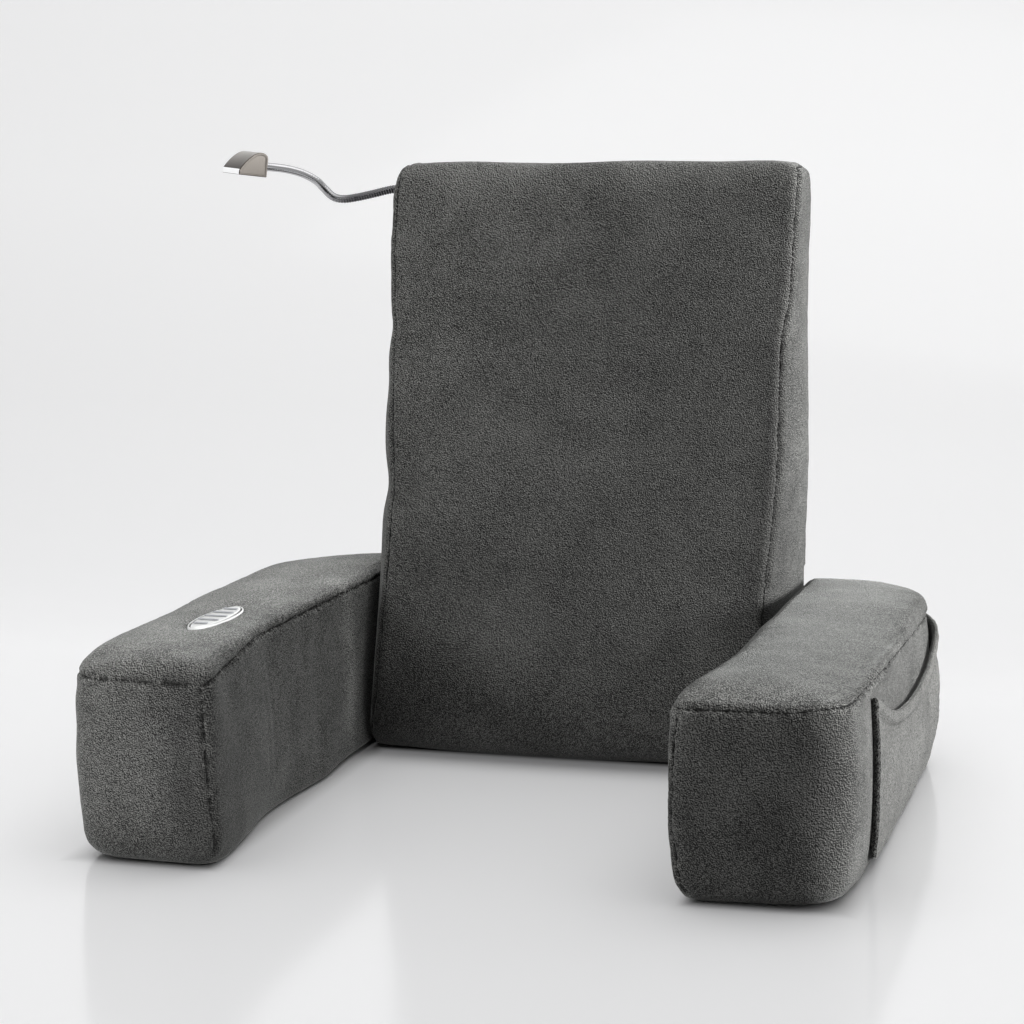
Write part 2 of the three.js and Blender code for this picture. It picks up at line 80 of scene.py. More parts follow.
camera = bpy.data.objects.new("camera", bpy.data.cameras.new("camera"))
camera.data.lens = 87.9
camera.data.sensor_width = 36
camera_axes = Matrix((right, up, -ahead)).transposed().to_4x4()
camera.matrix_world = Matrix.Translation((0.524, -2.203, 0.533)) @ camera_axes
scene.collection.objects.link(camera)
scene.camera = camera
print("camera looks along", [round(v, 3) for v in ahead])

# %% [markdown]
# Shader maths reads best as ordinary arithmetic. This class wraps a node's output, so that `1 - mask * 0.5`
# adds its Math nodes by itself. `Signal.of` adds any other node: its settings come first, because they
# decide which sockets it shows, and then the values or links of its sockets.


# %% Shader arithmetic
class Signal:
    """A node's output that takes part in Python arithmetic: each operation adds one Math node."""

    def __init__(self, tree, socket):
        self.tree, self.socket = tree, socket

    @classmethod
    def of(cls, tree, kind, settings=(), sockets=(), output=0):
        node = tree.nodes.new(kind)
        for key, value in dict(settings).items():
            setattr(node, key, value)
        shown = [socket for socket in node.inputs if socket.enabled]
        for key, value in dict(sockets).items():
            socket = shown[key] if isinstance(key, int) else next(s for s in shown if s.name == key)
            if isinstance(value, Signal):
                tree.links.new(value.socket, socket)
            else:
                socket.default_value = value
        given = [socket for socket in node.outputs if socket.enabled]
        return cls(tree, given[output] if isinstance(output, int) else node.outputs[output])

    def math(self, operation, first, second):
        return Signal.of(self.tree, "ShaderNodeMath", {"operation": operation}, {0: first, 1: second})

    def __add__(self, other):
        return self.math("ADD", self, other)

    def __radd__(self, other):
        return self.math("ADD", other, self)

    def __sub__(self, other):
        return self.math("SUBTRACT", self, other)

    def __rsub__(self, other):
        return self.math("SUBTRACT", other, self)

    def __mul__(self, other):
        return self.math("MULTIPLY", self, other)

    def __rmul__(self, other):
        return self.math("MULTIPLY", other, self)

    def __abs__(self):
        return Signal.of(self.tree, "ShaderNodeMath", {"operation": "ABSOLUTE"}, {0: self})

    def between(self, low, high):
        return Signal.of(self.tree, "ShaderNodeClamp", {}, {"Value": self, "Min": low, "Max": high})


print("signals can be added, subtracted, multiplied and clamped")

# %% [markdown]
# Every finish here starts from the same few moves, so they become functions: start a material and set what
# is constant on its shader, link what varies, blend two colours, take one axis of a vector, lay noise over
# the object, and turn heights into bumps. The noise is tilted a little, because its grid would show on a
# panel that lies along it.


# %% Helpers for finishes
def start_finish(name, constants):
    """A new material: its node tree and its shader, with the constants set on the shader's own sockets."""
    material = bpy.data.materials.new(name)
    material.use_nodes = True
    shader = material.node_tree.nodes["Principled BSDF"]
    for key, value in constants.items():
        shader.inputs[key].default_value = value
    return material, material.node_tree, shader


def drive(shader, **signals):
    """Links signals to the shader's sockets: drive(shader, Base_Color=tone)."""
    for key, signal in signals.items():
        signal.tree.links.new(signal.socket, shader.inputs[key.replace("_", " ")])


def blend_colours(factor, low, high):
    """A colour from low to high as factor goes from 0 to 1. High may be a signal."""
    sockets = {"Factor": factor, "A": (*low, 1), "B": high if isinstance(high, Signal) else (*high, 1)}
    return Signal.of(factor.tree, "ShaderNodeMix", {"data_type": "RGBA"}, sockets)


def part_of(vector, axis):
    return Signal.of(vector.tree, "ShaderNodeSeparateXYZ", {}, {"Vector": vector}, output=axis)


def grain(tree, size, stretch=(1, 1, 1), detail=2.0, distortion=0.0, shift=(0, 0, 0)):
    """Noise whose lumps are about size metres across, and longer where stretch is below 1."""
    place = Signal.of(tree, "ShaderNodeTexCoord", output="Object")
    moved = Signal.of(tree, "ShaderNodeVectorMath", {"operation": "ADD"}, {0: place, 1: shift})
    laid = Signal.of(tree, "ShaderNodeVectorMath", {"operation": "MULTIPLY"}, {0: moved, 1: stretch})
    tilt = {"Vector": laid, "Rotation": (0.7, 0.5, 0.3)}
    tilted = Signal.of(tree, "ShaderNodeVectorRotate", {"rotation_type": "EULER_XYZ"}, tilt)
    sockets = {"Vector": tilted, "Scale": 1 / size, "Detail": detail, "Roughness": 0.6}
    return Signal.of(tree, "ShaderNodeTexNoise", {}, {**sockets, "Distortion": distortion})


def bump(height, strength, distance):
    sockets = {"Strength": strength, "Distance": distance, "Height": height}
    return Signal.of(height.tree, "ShaderNodeBump", {}, sockets)


print("helpers for finishes ready")

# %% [markdown]
# Nearly every piece of this lesson is built point by point. One helper makes an object from points and faces,
# and one makes it from a bmesh, which is Blender's editable form of a mesh.


# %% Helpers for objects
def add_object(name, mesh, *finishes):
    """Puts a mesh into the scene, shaded smooth and with its finishes."""
    for finish in finishes:
        mesh.materials.append(finish)
    mesh.shade_smooth()
    obj = bpy.data.objects.new(name, mesh)
    scene.collection.objects.link(obj)
    return obj


def from_points(name, vertices, faces, finish):
    mesh = bpy.data.meshes.new(name)
    mesh.from_pydata([tuple(v) for v in vertices], [], faces)
    return add_object(name, mesh, finish)


def from_bmesh(name, work, *finishes):
    mesh = bpy.data.meshes.new(name)
    work.to_mesh(mesh)
    work.free()
    return add_object(name, mesh, *finishes)


print("helpers for objects ready")

# %% [markdown]
# The cushion stands in a pale seamless studio. The finish of its sweep is a little glossy, so that the arms
# show faintly in the floor, and it glows by itself, because a real sweep is lit on its own. The glow dies
# away where the cushion touches the floor, which paints a thin dark contact shadow round its feet. From
# behind the sweep is clear, so that the cushion's back can be looked at too.

# %% Studio finish
constants = {"Base Color": (0.88, 0.88, 0.885, 1), "Specular IOR Level": 0.3, "Emission Strength": 1.0}
studio_white, tree, shader = start_finish("studio", constants)
place = Signal.of(tree, "ShaderNodeTexCoord", output="Object")
east, north, height = (part_of(place, axis) for axis in "XYZ")
wedge_foot = ((-0.185, -0.068), (0.185, 0.06))
arm_feet = (((-0.292, -0.476), (-0.186, 0.05)), ((0.192, -0.474), (0.298, 0.05)))
contact_shadow_fade = 70


def outside_box(low, high):
    """How far, in metres, a place on the floor lies outside a box."""
    spans = []
    for signal, a, b in ((east, low[0], high[0]), (north, low[1], high[1])):
        spans.append(abs(signal - (a + b) / 2) - (b - a) / 2)
    return spans[0].math("MAXIMUM", *spans)


gap = outside_box(*wedge_foot)
for foot in arm_feet:
    gap = gap.math("MINIMUM", gap, outside_box(*foot))
glow = blend_colours((height * 2).between(0, 1), (0.125, 0.125, 0.127), (0.235, 0.235, 0.235))
# The glow fades to nothing round the cushion's feet: a painted contact shadow.
glow = blend_colours((gap * contact_shadow_fade).between(0, 1), (0, 0, 0), glow)
drive(shader, Roughness=0.1 + grain(tree, 0.6) * 0.08, Emission_Color=glow)
behind = Signal.of(tree, "ShaderNodeNewGeometry", output="Backfacing")
clear = Signal.of(tree, "ShaderNodeBsdfTransparent")
seen = Signal(tree, shader.outputs["BSDF"])
sweep = Signal.of(tree, "ShaderNodeMixShader", {}, {0: behind, 1: seen, 2: clear})
tree.links.new(sweep.socket, tree.nodes["Material Output"].inputs["Surface"])
print("studio finish of", len(tree.nodes), "nodes")

# %% [markdown]
# The sweep is one strip of faces: the floor, a quarter circle and the wall behind the cushion.

# %% Floor and backdrop
floor_front, bend_start, bend_size, wall_top = -4.0, 0.3, 0.9, 3.5
half_span, floor_drop = 4, 0.0006
profile = [(floor_front, 0.0), (bend_start, 0.0)]
for angle in np.linspace(0.08, math.pi / 2, 20):
    profile.append((bend_start + bend_size * math.sin(angle), bend_size - bend_size * math.cos(angle)))
profile.append((bend_start + bend_size, wall_top))
points = [(x, y, z - floor_drop) for y, z in profile for x in (-half_span, half_span)]
quads = [(2 * i, 2 * i + 1, 2 * i + 3, 2 * i + 2) for i in range(len(profile) - 1)]
studio = from_points("studio", points, quads, studio_white)
print("studio sweep of", len(quads), "faces")

# %% [markdown]
# The room round the camera is dark, which keeps the faces that look at the camera deep and draws a dark line
# down the middle of the chrome. Two dark panels do that. The camera doesn't see them in any view.

# %% Dark room
room_black, tree, shader = start_finish("dark_room", {"Roughness": 1.0})
drive(shader, Base_Color=blend_colours(grain(tree, 0.8), (0.02, 0.02, 0.02), (0.04, 0.04, 0.04)))
room_half_width = 1.3
room_edges = {"dark_floor": ((-1.1, 0), (-2.7, 0)), "dark_wall": ((-2.7, 0), (-2.7, 1.8))}
stage = [studio]
for name, edges in room_edges.items():
    corners = [(x, y, z) for y, z in edges for x in (-room_half_width, room_half_width)]
    panel = from_points(name, corners, [(0, 1, 3, 2)], room_black)
    panel.visible_camera = False
    panel.visible_shadow = name == "dark_wall"
    stage.append(panel)
print("stage:", [obj.name for obj in stage])

# %% [markdown]
# Plush looks dark where it faces you and pale where you look along its pile. That comes from the sheen in
# its finish, lit by one large soft light overhead and another from the right. The left arm stands in the
# backrest's shadow, so three small lights are aimed at it.


# %% Lights
def soft_light(name, place, aim, size, power, spread=180):
    lamp = bpy.data.objects.new(name, bpy.data.lights.new(name, "AREA"))
    lamp.data.shape = "RECTANGLE"
    lamp.data.size, lamp.data.size_y = size
    lamp.data.energy = power
    lamp.data.spread = math.radians(spread)
    lamp.location = place
    lamp.rotation_euler = (Vector(aim) - Vector(place)).to_track_quat("-Z", "Y").to_euler()
    scene.collection.objects.link(lamp)
    return lamp


soft_light("top_light", (0.1, -0.35, 2.2), (0, -0.1, 0), (2.6, 2.0), 22)
right_light = soft_light("right_light", (1.8, -0.05, 0.5), (0.2, -0.05, 0.25), (1.0, 0.6), 15, spread=70)
left_light = soft_light("left_light", (-0.9, -1.2, 0.5), (-0.25, -0.5, 0.1), (0.5, 0.5), 1.8, spread=60)
above_light = soft_light("above_light", (-0.5, 0.2, 1.2), (-0.24, -0.25, 0.16), (0.8, 0.8), 4, spread=90)
inner_light = soft_light("inner_light", (0.8, -1.3, 0.4), (-0.2, -0.25, 0.08), (0.6, 0.5), 1.6, spread=60)

scene.world = bpy.data.worlds.new("world")
scene.world.use_nodes = True
sky = scene.world.node_tree.nodes["Background"]
sky.inputs["Color"].default_value = (1, 1, 1, 1)
sky.inputs["Strength"].default_value = 0.5
scene.view_settings.view_transform = "Standard"

# %% [markdown]
# The plush itself: a dark base with fine curly flecks, softer cloudy patches where a hand has brushed the
# pile, painted shade in the seams' grooves and the painted light and shade of the strokes further down. A
# fleck is the difference of two noises a hair's breadth apart, so that each has a painted highlight on its
# upper side and painted shade on its lower side, as pile lit from above. Flecks stand out by `lying` on the
# tops and the sides, where the pile lies flat, and by `standing` more on fronts and backs. `brush` makes them
# longer along one axis.


# %% Plush finish
def stored(tree, name):
    """The values that the mesh holds at its points under this name."""
    return Signal.of(tree, "ShaderNodeAttribute", {"attribute_name": name}, output="Fac")


def plush_finish(name, brush, size=0.00072, lift=0.0, lying=2.0, standing=1.3):
    constants = {
        "Roughness": 0.95,
        "Specular IOR Level": 0.1,
        "Sheen Weight": 0.2,
        "Sheen Roughness": 0.33,
        "Sheen Tint": (0.98, 1.0, 0.97, 1),
    }
    material, tree, shader = start_finish(name, constants)
    pile = grain(tree, size, brush, detail=0)
    # Each fleck gets a painted highlight on one side and painted shade on the other, as pile tips lit from
    # above.
    fleck_relief_shade = pile - grain(tree, size, brush, detail=0, shift=(0.0005, 0.0006, 0.0007))
    cloud = grain(tree, 0.05, detail=2, distortion=0.3) - 0.5
    patch = grain(tree, 0.2, detail=1) - 0.5
    upright = abs(part_of(Signal.of(tree, "ShaderNodeNewGeometry", output="Normal"), "Y"))
    tone = 0.365 + lift + fleck_relief_shade * (lying + upright * standing) + cloud * 0.6 + patch * 0.3
    # Two stored marks: one darkens the seams' grooves as painted shade, the other paints light and shade over
    # the plush.
    tone = tone.between(0.02, 1.5) * (1 - stored(tree, "seam") * 0.6) * (0.5 + stored(tree, "nap") * 0.5)
    colour = blend_colours(tone, (0.006, 0.006, 0.006), (0.244, 0.244, 0.234))
    drive(shader, Base_Color=colour, Normal=bump(pile, 0.5, 0.0008))
    return material


arm_plush = {"brush": (1, 0.5, 1), "size": 0.0009}
plush = {
    "back_wedge": plush_finish("plush_wedge", (1, 0.5, 1)),
    "arm_left": plush_finish("plush_arm_left", **arm_plush, lying=1.4, standing=0.3),
    "arm_right": plush_finish("plush_arm_right", **arm_plush, lying=1.5, standing=0.1),
    # The pocket's plush is made lighter: painted light on the arm's outer side, which the right light falls
    # on.
    "side_pocket": plush_finish("plush_pocket", (1, 1, 0.5), size=0.0006, lift=0.22),
}
print("plush finishes:", [finish.name for finish in plush.values()])

# %% [markdown]
# A few helpers for shapes: a smooth step, a bell, smooth random values that are the same on every run,
# applying an object's modifiers to its mesh, and reading and writing a mesh's points as one array.


# %% Helpers for shapes
def ease(value, low, high):
    """0 below low, 1 above high and a smooth step between them."""
    t = np.clip((np.asarray(value, float) - low) / (high - low), 0, 1)
    return t * t * (3 - 2 * t)


def bell(distance, width):
    """1 at distance 0, fading to 0 over about twice the width."""
    return np.exp(-((distance / width) ** 2))


def wander(points, size, seed=0):
    """Random values from -1 to 1 at points, which change smoothly over about size metres."""
    cells = np.asarray(points, float) / size + 137.0
    low = np.floor(cells).astype(np.int64)
    t = cells - low
    t = t * t * (3 - 2 * t)
    total = np.zeros(len(cells))
    for corner in itertools.product((0, 1), repeat=3):
        key = (low + corner) @ np.array([73856093, 19349663, 83492791]) + seed * 2654435761
        key = (key ^ (key >> 13)) * 1274126177 & 0x7FFFFFFF
        key = (key ^ (key >> 16)) * 2246822519 & 0x7FFFFFFF
        total += np.prod(np.where(corner, t, 1 - t), axis=1) * (key % 65536 / 32767.5 - 1)
    return total


def settle(obj):
    """Applies obj's modifiers to its mesh."""
    graph = bpy.context.evaluated_depsgraph_get()
    mesh = bpy.data.meshes.new_from_object(obj.evaluated_get(graph))
    obj.modifiers.clear()
    obj.data = mesh
    return obj


def places_of(mesh):
    places = np.empty(len(mesh.vertices) * 3)
    mesh.vertices.foreach_get("co", places)
    return places.reshape(-1, 3)


def normals_of(mesh):
    normals = np.empty(len(mesh.vertices) * 3)
    mesh.vertex_normals.foreach_get("vector", normals)
    return normals.reshape(-1, 3)


def set_places(mesh, places):
    mesh.vertices.foreach_set("co", places.ravel())
    mesh.update()


print("wander at the origin:", wander([(0, 0, 0)], 0.01).round(3))

# %% [markdown]
# The seams follow the pattern pieces, so the pattern is drawn first. Outlines are rounded corner by corner,
# as a pattern cutter would draw them, and then given evenly spaced points.


# %% Pattern lines
def rounded(corners, step=0.09):
    """A closed outline through corners of (first, second, radius), with every corner rounded off."""
    spots = [np.array(corner[:2], float) for corner in corners]
    outline = []
    for i, (*_, radius) in enumerate(corners):
        here, back, on = spots[i], spots[i - 1] - spots[i], spots[(i + 1) % len(spots)] - spots[i]
        back, on = back / np.linalg.norm(back), on / np.linalg.norm(on)
        half = math.acos(np.clip(back @ on, -1, 1)) / 2
        middle = here + (back + on) / np.linalg.norm(back + on) * radius / math.sin(half)
        start = here + back * radius / math.tan(half) - middle
        end = here + on * radius / math.tan(half) - middle
        sweep = math.pi - 2 * half
        for t in np.linspace(0, 1, max(2, int(sweep / step))):
            turned = start * math.sin((1 - t) * sweep) + end * math.sin(t * sweep)
            outline.append(middle + turned / math.sin(sweep))
    return np.array(outline)


def evenly(line, step=0.001, closed=False):
    """The same line with a point every step metres."""
    if closed:
        line = np.concatenate([line, line[:1]])
    run = np.concatenate([[0], np.cumsum(np.linalg.norm(np.diff(line, axis=0), axis=1))])
    return np.stack([np.interp(np.arange(0, run[-1], step), run, axis) for axis in line.T], axis=1)


print("a rounded square has", len(rounded([(0, 0, 1), (9, 0, 1), (9, 9, 1), (0, 9, 1)])), "points")

# %% [markdown]
# The wedge's side panels are cut to its side outline, so a seam runs round that outline on both sides. The
# real seams wave in and out as they go up, so their distance from the middle is given height by height.
# Sizes of the pattern are in mm.

# %% Seams of the wedge
wedge_top, wedge_back, foot_depth, top_depth, back_half_width = 530, 60, 199, 51, 190
wave_heights = (0, 80, 174, 250, 313, 380, 402, 454, 530)
left_wave = (168, 167, 165, 165, 171, 175, 177, 180, 181)
right_wave = (175, 175, 177, 182, 181, 180, 185, 186, 187)


def wedge_half_width(y, z, left):
    """How far the wedge's side seam lies from the middle, in mm, at (y, z) in mm."""
    front = np.interp(z, wave_heights, left_wave if left else right_wave)
    depth = foot_depth + (top_depth - foot_depth) * z / wedge_top
    share = np.clip((wedge_back - y) / depth, 0, 1)
    corner = 16 if left else 12
    over = np.maximum(0, z - (wedge_top - corner))
    rounding = corner - np.sqrt(np.maximum(corner**2 - over**2, 0))
    fullness = 5 - 2.8 * ease(z, 200, wedge_top)
    return back_half_width - (back_half_width - front) * share**fullness - rounding


side_outline = rounded([(57.5, 2.5, 10), (57.5, 527.5, 12), (10.7, 527.5, 20), (-136, 2.5, 61)])
side_outline = evenly(side_outline / 1000, 0.004, closed=True)
seam_lines = {"back_wedge": []}
for side in (-1, 1):
    half_widths = wedge_half_width(*(side_outline * 1000).T, left=side < 0) / 1000
    line = np.c_[side * half_widths, side_outline]
    seam_lines["back_wedge"].append(evenly(line, closed=True))
print("wedge seams in m:", [len(line) / 1000 for line in seam_lines["back_wedge"]])

# %% [markdown]
# Each arm has one seam round its top panel and one that stands at its inner front corner. The pattern draws
# the top seam at one height, but on the real cushion it was sewn a few millimetres off here and there.

# %% Seams of the arms
top_corners = {
    "arm_left": [
        (172, 557, 8),
        (291, 555, 30),
        (305, 260, 420),
        (309, 0, 88),
        (190.6, 2, 9),
        (190, 400, 300),
    ],
    "arm_right": [(174, 555, 8), (302, 553, 40), (312, 2, 82), (190.6, 2, 9), (190.6, 385, 300)],
}
uprights = {
    "arm_left": [
        (-181.4, -494, 146),
        (-180.3, -495, 118),
        (-178.6, -495, 87),
        (-176, -494, 57),
        (-174, -491, 34),
        (-173, -486, 12),
    ],
    "arm_right": [
        (180.8, -492, 143.5),
        (179.2, -492, 108),
        (178.6, -492, 79),
        (179, -492, 50),
        (181.4, -490, 24),
        (186, -484, 8),
    ],
}


def plain_height(node, out, y):
    """The height in mm at which the pattern puts an arm's top seam."""
    lift, rear_drop = (4, 2) if node == "arm_left" else (0, 8)
    return 143 + lift - rear_drop * ease(y, -90, 60) * (0.3 + 0.7 * ease(out, 215, 300))


def sewn_rise(node, out, y):
    """How far above the pattern's line, in mm, the seam ended up when it was sewn."""
    if node == "arm_left":
        spots = (-494, -470, -430, -400, -350, -300, -250, -200, -155, -120, -50, 60)
        inner = np.interp(y, spots, (-2.5, 5, 7.5, 8.5, 8, 5.5, 4.5, 6, 7.5, 8, 7, 6))
        outer = np.interp(y, (-494, -440), (-1.5, 0))
        return inner + (outer - inner) * ease(out, 200, 285)
    inner = np.interp(y, (-480, -450, -400), (4, 3, 0))
    spots = (-492, -450, -410, -380, -325, -260, -190, -115, -30)
    outer = np.interp(y, spots, (7, 6, 7, 5.5, 7.5, 6.5, 4, -1, -5))
    return inner + (outer - inner) * ease(out, 255, 285)


def arm_top_line(node, side, lean):
    """The seam round an arm's top panel, from its corners as (out, behind, radius) in mm."""
    out, behind = rounded(top_corners[node]).T
    y = 60 - behind
    out = out + lean * 0.41 * (1 - ease(y, -190, -110))
    z = plain_height(node, out, y) + sewn_rise(node, out, y)
    return np.c_[side * out, y, z] / 1000


for node, side, lean in (("arm_left", -1, 6), ("arm_right", 1, 0)):
    top_line = evenly(arm_top_line(node, side, lean), closed=True)
    seam_lines[node] = [top_line, evenly(np.array(uprights[node]) / 1000)]
    print(node, "seams in m:", [len(line) / 1000 for line in seam_lines[node]])

# %% [markdown]
# A hand-guided seam is never quite straight, so each line gets a small wobble. Before it is used it is laid
# on the cover's own surface, and a search tree then gives every point of the cover its distance to the seam.


# %% Seams on a surface
def wobbled(line, amount=0.0006):
    return line + amount * np.stack([wander(line, 0.014, seed) for seed in (1, 2, 3)], axis=1)


def laid_on(line, obj):
    """The line moved to the nearest points of obj's surface, and the surface's normals there."""
    hits = [obj.closest_point_on_mesh(Vector(point)) for point in line]
    return np.array([hit[1] for hit in hits]), np.array([hit[2] for hit in hits])


def nearest_seam(places, lines):
    """For each place, its distance to the nearest point of the lines and how far along its line that is."""
    points = np.concatenate(lines)
    runs = np.concatenate([np.arange(len(line)) * 0.001 for line in lines])
    tree = kdtree.KDTree(len(points))
    for i, point in enumerate(points):
        tree.insert(point, i)
    tree.balance()
    found = [tree.find(place)[1:] for place in places]
    return np.array([d for _, d in found]), runs[[i for i, _ in found]]


seam_lines = {node: [wobbled(line) for line in lines] for node, lines in seam_lines.items()}
print("first seam point:", seam_lines["back_wedge"][0][0].round(4))

# %% [markdown]
# Each cushion starts as a copy of its CAD solid. The triangles are joined back to quads and rounded by a
# subdivision, which takes the facets off, and a voxel remesh then gives an even mesh that cloth can move.

# %% Copy and remesh the three cushions
voxels = {"back_wedge": 0.006, "arm_left": 0.005, "arm_right": 0.005}
flat_angle, square_angle = math.radians(30), math.radians(70)


def remeshed(node):
    solid = bmesh.new()
    solid.from_mesh(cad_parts[node].data)
    bmesh.ops.remove_doubles(solid, verts=solid.verts, dist=1e-6)
    limits = {"angle_face_threshold": flat_angle, "angle_shape_threshold": square_angle}
    bmesh.ops.join_triangles(solid, faces=solid.faces, **limits)
    obj = from_bmesh(node + "_plush", solid)
    rounding = obj.modifiers.new("rounding", "SUBSURF")
    rounding.levels = 2
    remesh = obj.modifiers.new("remesh", "REMESH")
    remesh.mode = "VOXEL"
    remesh.voxel_size = voxels[node]
    return settle(obj)


cushions = {node: remeshed(node) for node in voxels}
for node, obj in cushions.items():
    print(node, "has", len(obj.data.polygons), "faces after the remesh")

# %% [markdown]
# The solids have their top seams where the pattern draws them. The arms' meshes are moved to where they were
# sewn, and the right arm's top slopes down to its seam along the front and the outer side.

# %% Shift the top seams
band_below, band_above = 45, 15
edge_slope, slope_width = 5.5, 55
for node in ("arm_left", "arm_right"):
    places = places_of(cushions[node].data)
    x, y, z = places.T * 1000
    plain, rise = plain_height(node, np.abs(x), y), sewn_rise(node, np.abs(x), y)
    below = ease(z, plain - band_below, plain)
    above = np.clip((plain + band_above - z) / band_above, 0, 1)
    z = z + rise * np.minimum(below, above)
    if node == "arm_right":
        to_edge = np.minimum(y + 493, 302 + 10 * (y + 493) / 551 - x)
        slope = edge_slope * (1 - ease(to_edge, 0, slope_width)) * (1 - ease(y, -250, -80))
        z = z - slope * ease(z, plain + rise, plain + rise + 6)
    places[:, 2] = z / 1000
    set_places(cushions[node].data, places)
    print(node, "seam shifted by up to", round(np.abs(rise).max(), 1), "mm")

# %% [markdown]
# A little smoothing then takes out the facets that are left, rounds the left arm's inner front corner and
# fills sharp valleys. Weights keep it off the places that should stay crisp.


# %% Soften
def weigh(obj, name, weights, least):
    """Stores the weights that are above least as a vertex group."""
    group = obj.vertex_groups.new(name=name)
    for i in np.flatnonzero(weights > least):
        group.add([int(i)], float(weights[i]), "REPLACE")
    return group


def soften(obj, weights, rounds):
    """Smooths obj's mesh where the weights are above 0."""
    group = weigh(obj, "soft", weights, 0.01)
    smooth = obj.modifiers.new("smooth", "SMOOTH")
    smooth.factor, smooth.iterations, smooth.vertex_group = 0.5, rounds, group.name
    settle(obj)
    obj.vertex_groups.clear()


for node, obj in cushions.items():
    places = places_of(obj.data)
    heights = places[:, 2]
    distance, _ = nearest_seam(places, seam_lines[node])
    flat = ease(distance, 0.012, 0.04) * ease(heights, 0.03, 0.06) * (1 - ease(heights, 0.46, 0.49))
    soften(obj, flat, 16)
    if node != "back_wedge":
        soften(obj, 1 - ease(distance, 0.008, 0.02), 3)
        inner = ease(distance, 0.012, 0.035) * (np.abs(places[:, 0]) < 0.2)
        soften(obj, inner * ease(heights, 0.02, 0.05) * (1 - ease(heights, 0.115, 0.135)), 90)
    if node == "arm_left":
        corner, _ = nearest_seam(places, seam_lines[node][1:])
        soften(obj, (1 - ease(corner, 0.012, 0.032)) * (1 - ease(heights, 0.125, 0.14)), 20)
    print(node, "softened by up to", round(np.abs(places_of(obj.data) - places).max() * 1000, 1), "mm")

# %% [markdown]
# The filling presses the cover out. A cloth simulation with pressure and without gravity does that: the
# seams, the underside, the faces between the cushions, the side behind the pocket and the place under the
# control pad are held, and the panels swell between them. First come the weights that say how firmly.

# %% Where the covers are held
pad_centre = np.array([-0.237, -0.324, 0.1617])
pad_half_width, pad_half_length = 0.0138, 0.0508


def beside_pad(places):
    """1 on the control pad's edge, less inside it and more outside it. Large away from the arm's top."""
    out, ahead = ((places - pad_centre) / (pad_half_width, pad_half_length, 1))[:, :2].T
    return np.where(places[:, 2] > 0.14, np.hypot(out, ahead), 9)


def hold_weights(node, places):
    """1 where the cover is held and 0 where it is free."""
    distance, _ = nearest_seam(places, seam_lines[node])
    held = np.maximum(1 - ease(distance, 0.005, 0.026), 1 - ease(places[:, 2], 0.004, 0.015))
    x, y, z = places.T
    between = (np.abs(x) > 0.17) & (np.abs(x) < 0.2) & (z < 0.17)
    behind_pocket = (x > 0.25) & (z < 0.14)
    held = np.maximum(held, between * ease(y, -0.25, -0.16))
    held = np.maximum(held, behind_pocket * ease(y, -0.42, -0.38))
    return np.maximum(held, 1 - ease(beside_pad(places), 1.02, 1.5))


starts = {node: places_of(obj.data) for node, obj in cushions.items()}
for node, obj in cushions.items():
    weights = hold_weights(node, starts[node])
    weigh(obj, "held", weights, 0.02)
    print(node, "is held at", round(100 * np.mean(weights > 0.5)), "% of its points")

# %% [markdown]
# Twenty steps of the simulation are enough. How far a point may move is capped, so that the cushions keep
# clear of each other, and the result becomes the mesh.

# %% Swell the panels
last_step = 20
swell_caps = {"back_wedge": 0.003, "arm_left": 0.004, "arm_right": 0.004}
for obj in cushions.values():
    cloth = obj.modifiers.new("cover", "CLOTH")
    cloth.settings.mass = 0.15
    cloth.settings.use_pressure = True
    cloth.settings.uniform_pressure_force = 4
    cloth.settings.effector_weights.gravity = 0
    cloth.settings.vertex_group_mass = "held"
    cloth.settings.quality = 5
    cloth.point_cache.frame_start, cloth.point_cache.frame_end = 1, last_step

for step in range(1, last_step + 1):
    scene.frame_set(step)
for node, obj in cushions.items():
    settle(obj)
    moved = places_of(obj.data) - starts[node]
    reach = np.linalg.norm(moved, axis=1)
    print(node, "swelled by up to", round(reach.max() * 1000, 1), "mm before the cap")
    cap = swell_caps[node]
    moved *= (cap * np.tanh(reach / cap) / np.maximum(reach, 1e-9))[:, None]
    set_places(obj.data, starts[node] + moved)
scene.frame_set(1)

# %% [markdown]
# No cushion is filled evenly. A handful of broad, soft pushes give the covers the fuller corners and the
# slack spots of the real one. Each names an axis, how far to push in mm, where, and how wide.

# %% Uneven filling
pushes = {
    "back_wedge": [
        ("z", 5.5, (-188, 30, 530), (12, 90, 35)),
        ("z", -4, (-40, 30, 530), (75, 90, 40)),
        ("z", -1.5, (105, 30, 530), (50, 90, 40)),
        ("x", -3, (-185, 0, 497), (30, 90, 18)),
        ("x", -1.8, (-185, 0, 455), (30, 90, 18)),
        ("x", 3.4, (-185, 0, 383), (30, 90, 18)),
        ("x", 1.5, (-185, 0, 330), (30, 90, 20)),
        ("x", 5, (-185, -30, 240), (30, 90, 22)),
        ("x", -2.4, (190, 50, 430), (30, 60, 60)),
    ],
    "arm_left": [
        ("z", -6, (-288, -485, 160), (32, 32, 30)),
        ("x", 3, (-295, -480, 150), (30, 45, 26)),
        ("z", -3, (-305, -250, 160), (40, 130, 30)),
        ("x", -6, (-285, -485, 8), (40, 45, 17)),
        ("x", 2, (-295, -485, 105), (30, 40, 18)),
        ("x", -6.5, (-185, -330, 0), (25, 85, 20)),
    ],
    "arm_right": [("z", 4.5, (285, 25, 150), (40, 60, 30))],
}


def spot(places, middle, width):
    """1 at the middle of a soft spot, fading to 0 over its width. Middle and width are in mm."""
    return np.exp(-(((places * 1000 - middle) / width) ** 2).sum(axis=1))


for node, table in pushes.items():
    places = places_of(cushions[node].data)
    before = places.copy()
    for axis, amount, middle, width in table:
        places[:, "xyz".index(axis)] += amount / 1000 * spot(before, middle, width)
    set_places(cushions[node].data, places)
    print(node, "pushed by up to", round(np.abs(places - before).max() * 1000, 1), "mm")
